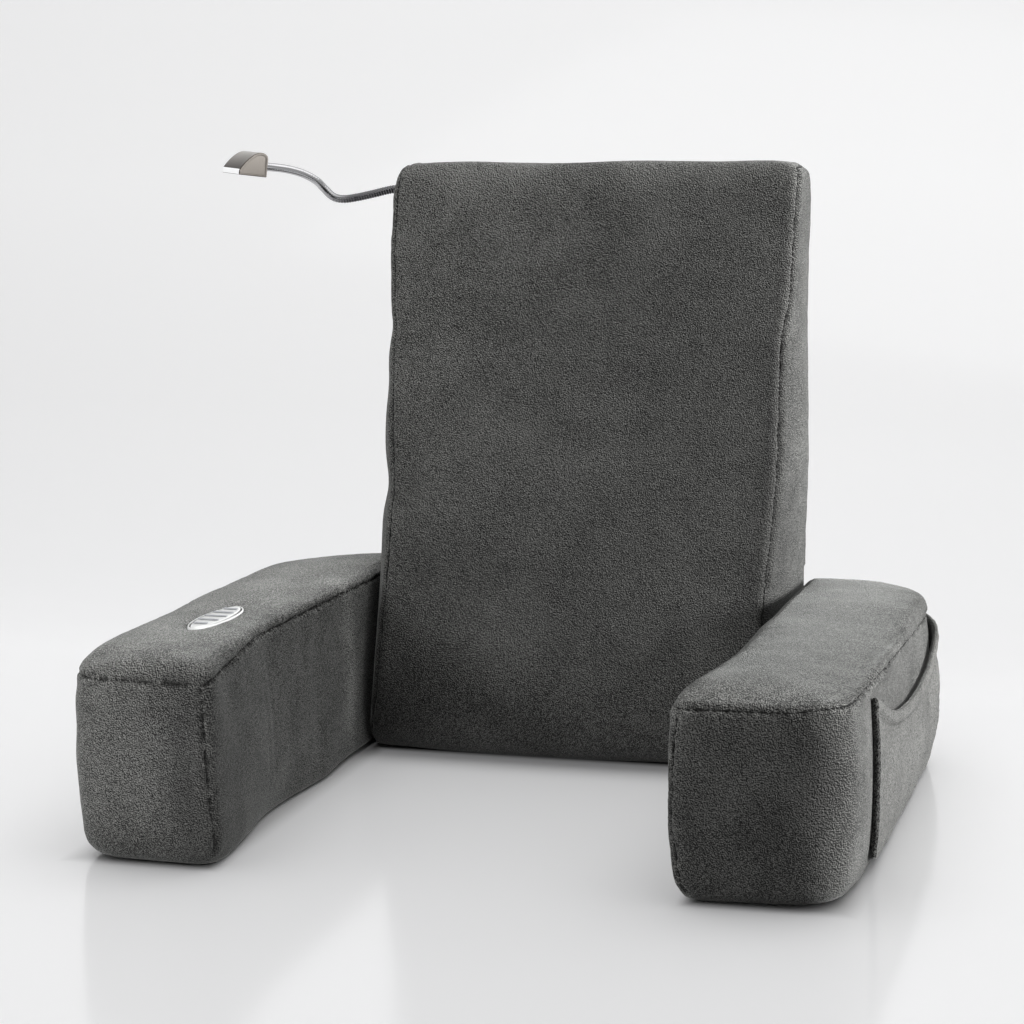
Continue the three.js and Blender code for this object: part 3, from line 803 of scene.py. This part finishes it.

# %% [markdown]
# Broad soft strokes paint light and shade into the plush's colour: painted highlights where the light falls
# most, such as the top edges and the lit sides, and painted shade where it falls least, such as near the
# corners and between the parts. Each stroke names by how much it lightens the colour (1 doubles it), where in
# mm and how wide. A point adds up the strokes near it.

# %% Painted light and shade over the pile
light_and_shade_strokes = {
    "back_wedge": [
        (1.1, (0, 0, 534), (400, 200, 24)),
        (0.6, (-185, -20, 515), (110, 120, 60)),
        (0.6, (-190, -30, 430), (120, 120, 130)),
        (0.3, (-40, -30, 470), (110, 120, 50)),
        (-0.3, (110, -80, 230), (130, 120, 170)),
        (-0.65, (183, -80, 200), (24, 120, 150)),
        (-0.2, (150, -60, 350), (80, 120, 100)),
        (-0.4, (10, -110, 160), (90, 120, 70)),
        (-1.3, (-175, -130, 36), (45, 80, 46)),
        (0.3, (-189, -60, 350), (14, 120, 220)),
        (-0.35, (-110, -100, 175), (60, 80, 40)),
        (0.4, (196, 20, 250), (9, 90, 300)),
    ],
    "arm_left": [
        (0.95, (-240, -280, 168), (200, 400, 14)),
        (0.7, (-302, -490, 70), (18, 60, 90)),
        (0.15, (-250, -490, 80), (40, 60, 60)),
        (-0.75, (-195, -490, 80), (14, 40, 70)),
        (-0.8, (-178, -450, 60), (20, 50, 80)),
        (-0.25, (-180, -330, 80), (20, 100, 50)),
        (-0.6, (-178, -430, 8), (20, 80, 25)),
        (1.2, (-185, -126, 90), (25, 20, 90)),
        (0.2, (-240, -20, 165), (90, 120, 30)),
    ],
    "arm_right": [
        (0.95, (240, -475, 157), (80, 28, 20)),
        (0.3, (178, -490, 110), (8, 30, 50)),
        (-0.45, (274, -490, 115), (18, 30, 35)),
        (-0.3, (245, -490, 60), (25, 30, 30)),
        (-0.27, (190, -490, 60), (14, 30, 20)),
        (-0.3, (235, -485, 2), (60, 30, 8)),
        (0.25, (312, -400, 70), (30, 80, 70)),
        (0.5, (305, -455, 25), (25, 50, 30)),
        (-0.45, (250, 10, 145), (100, 70, 30)),
    ],
}


def light_and_shade_at(node, places):
    """How much lighter than plain, as a share, the strokes of painted light and shade make the plush at
    places.
    """
    total = np.zeros(len(places))
    for amount, middle, width in light_and_shade_strokes[node]:
        total += amount * spot(places, middle, width)
    return 2**total - 1


def mark_points(mesh, name, values):
    mesh.attributes.new(name, "FLOAT", "POINT").data.foreach_set("value", values)


print({node: len(table) for node, table in light_and_shade_strokes.items()}, "light_and_shade_strokes")

# %% [markdown]
# One subdivision makes the mesh fine enough for the pile, and the strips along the seams are divided once
# more. Then the details go in: a groove drawn in by the thread, which is deeper at each stitch, two soft lips
# and small puckers beside it, and the pile as fine random lift over the whole cover. The grooves are also
# darkened with painted shade.

# %% Seams, puckers and pile
stitch_length, groove_width, lip_distance, lip_width, tuft_width = 0.0046, 0.0017, 0.0055, 0.0035, 0.0045
pile_height, fine_strip = 0.0012, 0.006


def refine(obj, lines, reach):
    """Divides the mesh once everywhere, and once more within reach of a seam."""
    finer = obj.modifiers.new("finer", "SUBSURF")
    finer.levels = 1
    settle(obj)
    distance, _ = nearest_seam(places_of(obj.data), lines)
    work = bmesh.new()
    work.from_mesh(obj.data)
    edges = [e for e in work.edges if max(distance[v.index] for v in e.verts) < reach]
    bmesh.ops.subdivide_edges(work, edges=edges, cuts=1, use_grid_fill=True)
    work.to_mesh(obj.data)
    work.free()


def between_cushions(places):
    """1 where an arm lies against the wedge, or behind its pocket, and 0 elsewhere."""
    x, y, z = places.T
    beside = (np.abs(x) > 0.175) & (np.abs(x) < 0.2) & (z < 0.165)
    behind_pocket = (x > 0.26) & (z < 0.14)
    return np.maximum(beside * ease(y, -0.205, -0.15), behind_pocket * ease(y, -0.395, -0.382))


def dress(obj, lines, depth, tuft):
    """Presses the seams in and raises the pile, in tufts along the seams. Marks painted shade in the grooves
    and random lighter and darker tufts beside them.
    """
    mesh = obj.data
    places, normals = places_of(mesh), normals_of(mesh)
    distance, run = nearest_seam(places, lines)
    stitch = 0.88 + 0.12 * np.sin(run * 2 * math.pi / stitch_length)
    ragged = 0.8 + 0.5 * wander(places, 0.009, 11)
    groove = bell(distance, groove_width) * stitch * ragged
    lips = bell(distance - lip_distance, lip_width) * (0.0009 + 0.0005 * wander(places, 0.014, 12))
    pucker = np.exp(-distance / 0.012) * 0.0003 * wander(np.c_[run, run * 0, run * 0], 0.0085, 13)
    soft = 0.0012 * wander(places, 0.09, 14) + 0.0003 * wander(places, 0.03, 15)
    fuzz = pile_height * (0.08 * wander(places, 0.0024, 17) + 0.8)
    tufts = bell(distance, tuft_width) * tuft * wander(places, 0.0026, 16)
    lift = lips * 0.6 + pucker + soft + fuzz + 0.0009 * tufts - depth * groove
    lift = lift - np.maximum(lift, 0) * between_cushions(places)
    under_pad = 1 - ease(beside_pad(places), 0.98, 1.12)
    lift = lift * (1 - under_pad) - 0.0003 * under_pad
    places = places + normals * lift[:, None]
    places[:, 2] = np.maximum(places[:, 2], 0)
    set_places(mesh, places)
    # The seam mark darkens the grooves as painted shade; the tufts make the pile beside them randomly lighter
    # and darker.
    mark_points(mesh, "seam", np.clip(groove**2 * 1.2 - tufts * 1.3, -0.9, 1))
    mesh.shade_smooth()


for node, obj in cushions.items():
    seam_lines[node] = [laid_on(line, obj)[0] for line in seam_lines[node]]
    refine(obj, seam_lines[node], fine_strip)
    tuft = 0.25 if node == "back_wedge" else 1
    dress(obj, seam_lines[node], 0.0022 + 0.0006 * tuft, tuft)
    # Stores the strokes' painted light and shade at every point.
    mark_points(obj.data, "nap", light_and_shade_at(node, places_of(obj.data)))
    obj.data.materials.clear()
    obj.data.materials.append(plush[node])
    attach(obj, "cushion")
    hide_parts(node)
    print(node, "ends with", sum(len(p.vertices) - 2 for p in obj.data.polygons), "triangles")

# %% [markdown]
# A sewing thread lies in each groove. It is a thin dark tube whose radius swells at every stitch, and it
# sinks into the pile here and there. Its near-black colour also paints the shade in the seam's gap as a dark
# line.

# %% Seam threads
thread_sides, thread_radius, stitch_swell = 6, 0.0005, 0.0003
# Near black: the thread's own colour together with painted shade in the seam's gap.
thread_black, tree, shader = start_finish("thread_black", {"Roughness": 0.85, "Specular IOR Level": 0.2})
drive(shader, Base_Color=blend_colours(grain(tree, 0.002), (0.004, 0.004, 0.004), (0.014, 0.014, 0.013)))


def smoothed(rows, width):
    """Each row as the mean of the rows around it."""
    kernel = np.ones(width) / width
    padded = np.concatenate([rows[:1].repeat(width // 2, 0), rows, rows[-1:].repeat(width // 2, 0)])
    return np.stack([np.convolve(column, kernel, "valid") for column in padded.T], axis=1)


def thread_points(line, obj, sink):
    """The thread's tube along one line, as one row of points for each of its sides."""
    spots, normals = laid_on(line, obj)
    spots, normals = smoothed(spots, 7), smoothed(normals, 9)
    normals /= np.linalg.norm(normals, axis=1)[:, None]
    run = np.arange(len(line)) * 0.001
    depth = sink * (0.5 + wander(line, 0.02, 31))
    tangents = np.gradient(spots, axis=0)
    tangents /= np.linalg.norm(tangents, axis=1)[:, None] + 1e-12
    across = np.cross(tangents, normals)
    radius = thread_radius + stitch_swell * np.sin(run * 2 * math.pi / stitch_length)
    centre = spots - normals * depth[:, None]
    rows = []
    for turn in np.linspace(0, 2 * math.pi, thread_sides, endpoint=False):
        rows.extend(centre + radius[:, None] * (across * math.cos(turn) + normals * math.sin(turn)))
    return rows


def thread_faces(start, count, ring):
    """The faces of a tube of count rings whose points begin at start. A ring closes on itself."""
    faces = []
    for k in range(thread_sides):
        a, b = start + k * count, start + (k + 1) % thread_sides * count
        faces += [(a + i, a + i + 1, b + i + 1, b + i) for i in range(count - 1)]
        if ring:
            faces.append((a + count - 1, a, b, b + count - 1))
    if not ring:
        faces.append(tuple(start + k * count for k in range(thread_sides)))
        faces.append(tuple(start + k * count + count - 1 for k in reversed(range(thread_sides))))
    return faces


def lay_thread(name, lines, obj, sink):
    vertices, faces = [], []
    for line in lines:
        ring = np.linalg.norm(line[0] - line[-1]) < 0.003
        faces += thread_faces(len(vertices), len(line), ring)
        vertices += thread_points(line, obj, sink)
    thread = from_points(name, vertices, faces, thread_black)
    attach(thread, "cushion")
    return thread


thread_sinks = {"back_wedge": 0.0001, "arm_left": 0.0006, "arm_right": 0.0006}
for node, obj in cushions.items():
    thread = lay_thread(node + "_thread", seam_lines[node], obj, thread_sinks[node])
    print(thread.name, "has", len(thread.data.polygons), "faces")

# %% [markdown]
# The pocket is a sheet of the same plush, sewn to the right arm along its front edge, its foot and its rear
# edge. First comes the line that it follows in plan: straight along the arm's outer side and then halfway
# round its rear corner.

# %% Pocket outline on the arm
front_corner, rear_corner, inner_corner = np.array([(0.302, -0.493), (0.312, 0.058), (0.1906, 0.058)])
along = (rear_corner - front_corner) / np.linalg.norm(rear_corner - front_corner)
across = (inner_corner - rear_corner) / np.linalg.norm(inner_corner - rear_corner)
outward = np.array([along[1], -along[0]])
bend_radius, pocket_front = 0.082, -0.381
corner_reach = bend_radius * math.tan(math.acos(along @ across) / 2)
corner_start = rear_corner - along * corner_reach
first = front_corner + along * (pocket_front - front_corner[1]) / along[1]
straight = np.linalg.norm(corner_start - first)
pocket_length = straight + bend_radius * math.pi / 4


def outline_at(run):
    """The point on the arm's outline and the outward direction there, in plan."""
    if run <= straight:
        return first + along * run, outward
    turn = (run - straight) / bend_radius
    facing = outward * math.cos(turn) + along * math.sin(turn)
    return corner_start - outward * bend_radius + facing * bend_radius, facing


print("the pocket runs", round(pocket_length * 1000), "mm along the arm")

# %% [markdown]
# The pocket's rim is scooped, high at its ends and low in the middle, and it stands off the arm between its
# sewn edges. A cloth simulation could drape it, but laying it in columns keeps the rim exactly where it
# should be. Each column is a loop: up the outside, over the rolled hem and down the inside.

# %% Pocket cloth
wall_heights = np.array([0, 2, 10, 22, 45, 85, 120, 139, 143]) / 1000
wall_bulge = -np.array([4, 1.8, -0.4, -1.6, -3, -3.4, -1.8, 0.4, 1.4]) / 1000
rim_points = [
    (0, 0.138), (0.012, 0.134), (0.03, 0.126), (0.055, 0.117), (0.085, 0.109),
    (0.13, 0.102), (0.18, 0.098), (0.23, 0.0978), (0.275, 0.0993), (0.305, 0.103),
    (0.33, 0.109), (0.35, 0.116), (0.37, 0.124), (0.39, 0.129), (0.421, 0.131),
]
rim_runs = np.linspace(0, pocket_length, 211)
rim_heights = np.interp(rim_runs, *zip(*rim_points))
rim_heights = smoothed(rim_heights[:, None], 15)[:, 0]
cloth_thickness, hem_extra, edge_extra = 0.0025, 0.0028, 0.0024
wall_rows, standoff = 48, 0.0058


def pocket_loop(run):
    """One column of the pocket, from its foot outside over the hem to its foot inside."""
    share = run / pocket_length
    full = float(ease(math.sin(math.pi * share), 0, 0.6))
    rim = float(np.interp(run, rim_runs, rim_heights))
    edge = max(math.exp(-run / 0.005), math.exp(-(pocket_length - run) / 0.005))
    foot = 0.0015 + 0.014 * math.exp(-run / 0.03)
    heights = np.linspace(foot, rim - 0.0022, wall_rows)
    drawn_in = 1 - 0.75 * ease(heights, rim - 0.05, rim - 0.01)
    room = standoff * full * ease(heights, 0.002, 0.05) * drawn_in
    inner = np.interp(heights, wall_heights, wall_bulge) + 0.0008 + room
    hem = ease(heights, rim - 0.0115, rim - 0.0085)
    thick = cloth_thickness + np.maximum(hem_extra * hem, edge_extra * edge)
    turn = np.linspace(0, math.pi, 9)[1:-1]
    middle, radius = inner[-1] + thick[-1] / 2, thick[-1] / 2
    offsets = np.concatenate([inner + thick, middle + radius * np.cos(turn), inner[::-1]])
    rows = np.concatenate([heights, heights[-1] + radius * np.sin(turn), heights[::-1]])
    spot_here, facing = outline_at(run)
    return np.c_[spot_here + facing * offsets[:, None], rows], rim


front_runs = np.linspace(0, 0.008, 6)
middle_runs = np.arange(0.0105, pocket_length - 0.009, 0.0027)
rear_runs = np.linspace(pocket_length - 0.008, pocket_length, 6)
runs = np.concatenate([front_runs, middle_runs, rear_runs])
loops, rims = zip(*(pocket_loop(float(run)) for run in runs))
size = len(loops[0])
faces = []
for c in range(len(loops) - 1):
    here, there = c * size, (c + 1) * size
    for r in range(size):
        faces.append((here + r, there + r, there + (r + 1) % size, here + (r + 1) % size))
last = (len(loops) - 1) * size
for r in range(size // 2):
    lid = (r, r + 1, size - 2 - r, size - 1 - r)
    if r == size // 2 - 1:
        lid = (r, r + 1, size - 1 - r)
    faces.append(lid)
    faces.append(tuple(last + v for v in reversed(lid)))
pocket = from_points("side_pocket_plush", np.concatenate(loops), faces, plush["side_pocket"])
print("pocket of", len(faces), "faces")

# %% [markdown]
# The stitches of the hem are pressed in, the pile is raised, and the size the piece was cut to is printed.

# %% Pocket details
hem_stitch, hem_seam, hem_seam_width = 0.0045, 0.0108, 0.0011
mesh = pocket.data
places = places_of(mesh)
columns = np.repeat(runs, size)
below = np.repeat(rims, size) - places[:, 2]
outside = np.tile(np.arange(size) < wall_rows + 2, len(runs))
stitches = 0.6 + 0.4 * np.sin(columns * 2 * math.pi / hem_stitch)
stitched = bell(below - hem_seam, hem_seam_width) * stitches * outside
fuzz = 0.0004 * wander(places, 0.0042, 26) + 0.0004 * wander(places, 0.0024, 27)
wave = 0.0009 * wander(places * [1, 1, 0.4], 0.03, 28) * np.sin(math.pi * columns / pocket_length)
lift = fuzz * outside - 0.0009 * stitched
places = places + normals_of(mesh) * lift[:, None]
bend = np.stack([outline_at(float(run))[1] for run in runs])
places[:, :2] += np.repeat(bend, size, axis=0) * np.maximum(wave, -0.0004)[:, None]
set_places(mesh, places)
# The mark paints shade into the hem's stitch grooves, over the pocket's inside and along its front edge,
# speckled at random.
speckle = 0.75 + 0.6 * wander(places, 0.0026, 29)
inside_and_edge_shade = np.maximum(~outside, np.exp(-columns / 0.0012)) * speckle
mark_points(mesh, "seam", np.clip(np.maximum(stitched * 1.2, inside_and_edge_shade), 0, 1.4))

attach(pocket, "cushion")
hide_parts("side_pocket")
flat_area = float(np.sum(np.diff(runs) * (np.array(rims[1:]) + rims[:-1]) / 2))
print("pocket cut:", round(pocket_length, 3), "by", round(max(rims), 3), "m, area", round(flat_area, 4))

# %% [markdown]
# The control pad is moulded plastic. Its finish is nearly one colour, with a faint blotch that also varies
# how glossy it is, because a perfectly even plastic looks like a drawing.


# %% Plastic finishes
def plastic_finish(name, colour, roughness):
    material, tree, shader = start_finish(name, {"Coat Weight": 0.1})
    blotch = grain(tree, 0.004, detail=3)
    darker = tuple(channel * 0.9 for channel in colour)
    drive(shader, Base_Color=blend_colours(blotch, darker, colour), Roughness=roughness + blotch * 0.12)
    drive(shader, Normal=bump(blotch, 0.15, 0.0004))
    return material


pad_white = plastic_finish("pad_white", (0.56, 0.565, 0.56), 0.35)
pad_grey = plastic_finish("pad_grey", (0.29, 0.3, 0.315), 0.4)
print("plastic finishes ready")

# %% [markdown]
# The pad has an oval rim, a groove and a slightly domed face. A scaled cylinder with bevels would come close,
# but here the ovals are swept from a small profile, which gives every edge its own rounding.


# %% Control pad
def oval_sweep(name, profile, finish, steps=96, closed=False):
    """Sweeps a profile of (half width, half length, height) points round an oval."""
    angles = np.linspace(0, 2 * math.pi, steps, endpoint=False)
    rings = []
    for half_width, half_length, height in profile:
        rings.append(np.c_[half_width * np.cos(angles), half_length * np.sin(angles), angles * 0 + height])
    vertices = np.concatenate(rings) + pad_centre
    rows = list(range(len(rings)))
    pairs = list(zip(rows, rows[1:] + rows[:1])) if closed else list(zip(rows, rows[1:]))
    faces = [
        (a * steps + i, a * steps + (i + 1) % steps, b * steps + (i + 1) % steps, b * steps + i)
        for a, b in pairs
        for i in range(steps)
    ]
    if not closed:
        faces += [tuple(range(steps))[::-1], tuple((len(rings) - 1) * steps + i for i in range(steps))]
    return from_points(name, vertices, faces, finish)


rim_width, rim_foot, rim_swell, pad_groove = 0.0015, 0.0007, 0.0014, 0.0016
rim_profile = []
for angle in np.linspace(0, math.pi, 9):
    inset = (0.5 - 0.5 * math.cos(angle)) * rim_width
    crown = rim_foot + rim_swell * math.sin(angle)
    rim_profile.append((pad_half_width - inset, pad_half_length - inset, crown))
rim_profile.append((pad_half_width - rim_width, pad_half_length - rim_width, 0))
rim_profile.append((pad_half_width, pad_half_length, 0))
pad_rim = oval_sweep("pad_rim_white", rim_profile, pad_white, closed=True)

face_width = pad_half_width - rim_width - pad_groove
face_length = pad_half_length - rim_width - pad_groove
face_edge = ((1, 0), (1, 0.0016), (0.97, 0.0021))
face_profile = [(face_width * s, face_length * (1 - (1 - s) * 0.22), z) for s, z in face_edge]
face_profile += [(face_width * s, face_length * s, 0.0026 - 0.0003 * s * s) for s in (0.9, 0.6, 0.25)]
pad_face = oval_sweep("pad_face_white", face_profile, pad_white)
for obj, node in ((pad_rim, "pad_rim"), (pad_face, "pad_face")):
    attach(obj, "cushion")
    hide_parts(node)
print("pad rim and face:", len(pad_rim.data.polygons) + len(pad_face.data.polygons), "faces")

# %% [markdown]
# The five soft bars are cut from rounded boxes: a cube is scaled to the CAD bar's box, made as wide as the
# face is there, and its edges are bevelled.

# %% Pad bars
bar_bevel, bar_margin, bar_trim = 0.0003, 0.0008, 0.001


def rounded_box(name, low, high, bevel, finish):
    work = bmesh.new()
    bmesh.ops.create_cube(work, size=1)
    middle, span = (Vector(low) + Vector(high)) / 2, Vector(high) - Vector(low)
    for vertex in work.verts:
        vertex.co = middle + Vector(a * b for a, b in zip(vertex.co, span))
    upright = [e for e in work.edges if abs(e.verts[0].co.z - e.verts[1].co.z) > 1e-6]
    bmesh.ops.bevel(work, geom=upright, offset=bevel * 4, segments=5, affect="EDGES", profile=0.5)
    top = [e for e in work.edges if all(v.co.z > high[2] - 1e-6 for v in e.verts)]
    bmesh.ops.bevel(work, geom=top, offset=bevel, segments=3, affect="EDGES", profile=0.5)
    return from_bmesh(name, work, finish)


for number in range(1, 6):
    low, high = (np.array(corner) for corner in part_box(f"pad_bar_{number}"))
    edge = (abs((low + high)[1] / 2 - pad_centre[1]) + 0.003) / face_length
    half_bar = face_width * math.sqrt(1 - edge**2) - bar_margin
    low[0], high[0] = pad_centre[0] - half_bar, pad_centre[0] + half_bar
    low[1], high[1] = low[1] + bar_trim, high[1] - bar_trim
    bar = rounded_box(f"pad_bar_{number}_grey", low, high, bar_bevel, pad_grey)
    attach(bar, "cushion")
    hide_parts(f"pad_bar_{number}")
print("five bars on the pad")

# %% [markdown]
# The reading light is metal. The neck's colour is dark at the cushion and bright further out. The hood, its
# ends and its edges are painted dark below and bright on top, as a reflection of the bright room above. So
# the colour changes along one axis. A noise that is drawn out upwards makes it look brushed.


# %% Metal finishes
def metal_finish(name, dark, bright, roughness, axis, reach):
    """Metal whose colour goes from dark to bright over the reach along one axis of the object."""
    material, tree, shader = start_finish(name, {"Metallic": 1.0})
    brushed = grain(tree, 0.0012, (1, 1, 0.15), detail=3)
    run = part_of(Signal.of(tree, "ShaderNodeTexCoord", output="Object"), axis)
    share = (run - reach[0]) * (1 / (reach[1] - reach[0])) + (brushed - 0.5) * 0.14
    colour = blend_colours(share.between(0, 1), dark, bright)
    drive(shader, Base_Color=colour, Roughness=roughness + brushed * 0.12, Normal=bump(brushed, 0.12, 0.0002))
    return material


neck_steel = metal_finish(
    "neck_steel", (0.12, 0.12, 0.125), (0.52, 0.52, 0.53), 0.08, "X", (-0.238, -0.268)
)
# The hood's finishes run from dark below to bright on top: a painted reflection of the bright room above.
lamp_chrome = metal_finish(
    "lamp_chrome", (0.06, 0.05, 0.042), (0.45, 0.42, 0.385), 0.14, "Z", (0.5275, 0.5445)
)
lamp_edge = metal_finish(
    "lamp_edge", (0.05, 0.042, 0.035), (0.12, 0.105, 0.09), 0.3, "Z", (0.515, 0.545)
)
lamp_satin = metal_finish(
    "lamp_satin", (0.095, 0.087, 0.078), (0.165, 0.152, 0.139), 0.5, "Z", (0.515, 0.545)
)
collar_black = plastic_finish("collar_black", (0.02, 0.02, 0.021), 0.4)
lens_white = plastic_finish("lens_white", (0.85, 0.86, 0.87), 0.15)
lens_shader = lens_white.node_tree.nodes["Principled BSDF"]
lens_shader.inputs["Emission Color"].default_value = (1, 1, 1, 1)
lens_shader.inputs["Emission Strength"].default_value = 0.35
print("metal finishes ready")

# %% [markdown]
# The neck is a sprung steel hose. Its ribs wind round it as a spiral, so the tube's radius follows a sine
# along its length that turns with the angle. A screw modifier could wind it too, but only along a straight
# line. Two pieces make the neck up, one for each hinge.


# %% Neck of the light
def smooth_route(points, step):
    """A smooth line through points, as places about step metres apart."""
    points = np.array(points, float)
    padded = np.concatenate([[2 * points[0] - points[1]], points, [2 * points[-1] - points[-2]]])
    line = []
    for a, b, c, d in zip(padded, padded[1:], padded[2:], padded[3:]):
        count = max(2, int(np.linalg.norm(c - b) / step))
        t = np.linspace(0, 1, count, endpoint=False)[:, None]
        square, cube = 2 * a - 5 * b + 4 * c - d, 3 * b - a - 3 * c + d
        line.append(0.5 * (2 * b + (c - a) * t + square * t**2 + cube * t**3))
    return np.concatenate([*line, points[-1:]])


def ribbed_tube(name, line, start_run, radius, sides=18, pitch=0.0024):
    """A tube along line whose radius rises and falls in a spiral."""
    runs = start_run + np.concatenate([[0], np.cumsum(np.linalg.norm(np.diff(line, axis=0), axis=1))])
    tangents = np.gradient(line, axis=0)
    tangents /= np.linalg.norm(tangents, axis=1)[:, None]
    side = np.cross(tangents, (0, 1, 0))
    side /= np.linalg.norm(side, axis=1)[:, None]
    other = np.cross(tangents, side)
    angles = np.linspace(0, 2 * math.pi, sides, endpoint=False)
    winding = np.sin(2 * math.pi * runs[:, None] / pitch - angles[None])
    ribs = (0.012 + 0.06 * ease(line[:, 0], -0.262, -0.24))[:, None]
    reach = radius * (1 - ribs + ribs * winding)
    rings = line[:, None] + reach[..., None] * (
        side[:, None] * np.cos(angles)[None, :, None] + other[:, None] * np.sin(angles)[None, :, None]
    )
    count = len(line)
    faces = [
        (r * sides + i, r * sides + (i + 1) % sides, (r + 1) * sides + (i + 1) % sides, (r + 1) * sides + i)
        for r in range(count - 1)
        for i in range(sides)
    ]
    faces += [tuple(range(sides))[::-1], tuple((count - 1) * sides + i for i in range(sides))]
    return from_points(name, rings.reshape(-1, 3), faces, neck_steel)


neck_points = [
    (-191, 40, 506.6), (-197, 39.5, 506.3), (-204.5, 38, 504.9), (-216.5, 36, 502), (-232.5, 33.5, 498.6),
    (-245, 31, 497.2), (-254, 29, 499.6), (-262, 28, 507), (-269, 25, 514.5), (-280, 19, 521),
    (-292, 11, 525), (-304, 2, 527), (-313, -7, 528),
]
neck_radius, neck_step, neck_joint = 0.004, 0.0005, -0.2325
neck_line = smooth_route(np.array(neck_points) / 1000, neck_step)
cut = int(np.argmin(np.abs(neck_line[:, 0] - neck_joint)))
neck_base = ribbed_tube("neck_base", neck_line[: cut + 1], 0, neck_radius)
neck_end = ribbed_tube("neck_end", neck_line[cut:], neck_step * cut, neck_radius)

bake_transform(neck_base)
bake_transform(neck_end)
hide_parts("neck_root", "neck_mid")
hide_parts("neck_tip")
print("neck of", len(neck_line), "rings")

# %% [markdown]
# A small black grommet covers the hole where the neck leaves the backrest. It is turned from a profile
# round the neck's axis.

# %% Collar
low, high = (np.array(corner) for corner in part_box("neck_collar"))
axis_y, axis_z = (low[1:] + high[1:]) / 2
outer, thickness = (high[1] - low[1]) / 2, high[0] - low[0]
bore, collar_sides = 0.0042, 40
profile = [(outer, 0), (outer, 0.35), (outer * 0.93, 0.75), (outer * 0.8, 0.95), (outer * 0.68, 1)]
profile += [(bore, 0.8), (bore, 0)]
angles = np.linspace(0, 2 * math.pi, collar_sides, endpoint=False)
vertices = []
for radius, share in profile:
    x = high[0] - thickness * share
    vertices += [(x, axis_y + radius * math.cos(a), axis_z + radius * math.sin(a)) for a in angles]
faces = []
for k in range(len(profile)):
    here, there = k * collar_sides, (k + 1) % len(profile) * collar_sides
    for i in range(collar_sides):
        j = (i + 1) % collar_sides
        faces.append((here + i, there + i, there + j, here + j))
collar = from_points("neck_collar_black", vertices, faces, collar_black)
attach(collar, "cushion")
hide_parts("neck_collar")
print("collar", round(thickness * 1000, 1), "mm tall")

# %% [markdown]
# The lamp head is a folded metal hood. Its side view is a quarter round with a short upright lip, drawn from
# straight lines and two curves.

# %% Lamp outline
depth, height, half, lip = 0.028, 0.022, 0.019, 0.0045
crown = 0.00756


def curve(points, steps):
    """A Bezier curve through its first and last point, pulled towards those between."""
    rows = []
    for t in np.linspace(0, 1, steps):
        level = [np.array(p, float) for p in points]
        while len(level) > 1:
            level = [a * (1 - t) + b * t for a, b in zip(level, level[1:])]
        rows.append(level[0])
    return rows


outline = [(0, 0), (depth, 0), (depth, lip)]
outline += curve([(depth, lip), (0.0224, 0.01364), (0.014, height), (crown, height)], 14)[1:]
outline += curve([(crown, height), (0, height), (0, 0.01584)], 7)[1:]
print("lamp outline of", len(outline), "points")

# %% [markdown]
# The outline is pulled out to the hood's width and its edges are rolled. Faces get one of four finishes by
# the way they face, and the two ends are stepped in a little. Then the head is turned onto the neck's tip.
# The lens is the CAD plate in its open side, which only needs a finish.

# %% Lamp head
on_hood, on_end, on_front, on_edge = range(4)
turned = Euler((math.radians(-3), math.radians(-6), math.radians(226))).to_matrix()
head_place = Vector((-0.313, -0.007, 0.528)) - turned @ Vector((-0.0003, 0, 0.0095))

work = bmesh.new()
near = [work.verts.new((x, -half, z)) for x, z in outline]
far = [work.verts.new((x, half, z)) for x, z in outline]
work.faces.new(near)
work.faces.new(far[::-1])
for i in range(len(outline)):
    j = (i + 1) % len(outline)
    work.faces.new((near[j], near[i], far[i], far[j]))
bmesh.ops.recalc_face_normals(work, faces=work.faces)
sharp = [e for e in work.edges if e.calc_face_angle(0) > math.radians(28)]
bmesh.ops.bevel(work, geom=sharp, offset=0.0008, segments=3, affect="EDGES", profile=0.5)
work.normal_update()
for face in work.faces:
    sideways = abs(face.normal.y)
    if sideways > 0.9:
        face.material_index = on_end
    elif sideways > 0.2:
        face.material_index = on_edge
    # The hood's front lip takes the lens's white finish, which glows a little, so the lip shows as a bright
    # white band.
    elif face.normal.x > 0.9:
        face.material_index = on_front
    else:
        face.material_index = on_hood
ends = [face for face in work.faces if abs(face.normal.y) > 0.99]
for inset, sink in ((0.0016, -0.0001), (0.0005, -0.0006)):
    bmesh.ops.inset_individual(work, faces=ends, thickness=inset, depth=sink)
for vertex in work.verts:
    vertex.co = turned @ vertex.co + head_place
head = from_bmesh("lamp_head_chrome", work, lamp_chrome, lamp_satin, lens_white, lamp_edge)
head.modifiers.new("flat sides", "WEIGHTED_NORMAL")
settle(head)
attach(head, "lamp")
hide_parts("lamp_head")

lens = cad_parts["lamp_lens"]
lens.data.materials.clear()
lens.data.materials.append(lens_white)
print("lamp head of", len(head.data.polygons), "faces")

# %% [markdown]
# The side lights model the cushion only. Light linking keeps them off the floor and the backdrop, which stay
# as even as a studio sweep does. The right light also leaves out the left arm, where the backrest would
# throw a hard shadow, and the neck's end, on which it glints. Two small lights fall on the left arm alone.

# %% Light linking
dressed = [obj for obj in scene.objects if obj.type == "MESH" and obj not in stage]
at_left = [obj for obj in dressed if obj.name.startswith("arm_left")]
at_right = [obj for obj in dressed if obj not in at_left and obj is not neck_end]
lit_by = [(right_light, at_right), (left_light, dressed), (above_light, at_left), (inner_light, at_left)]
for lamp, receivers in lit_by:
    lit = bpy.data.collections.new("lit_by_" + lamp.name)
    for obj in receivers:
        lit.objects.link(obj)
    lamp.light_linking.receiver_collection = lit
    print(lamp.name, "falls on", len(receivers), "objects")
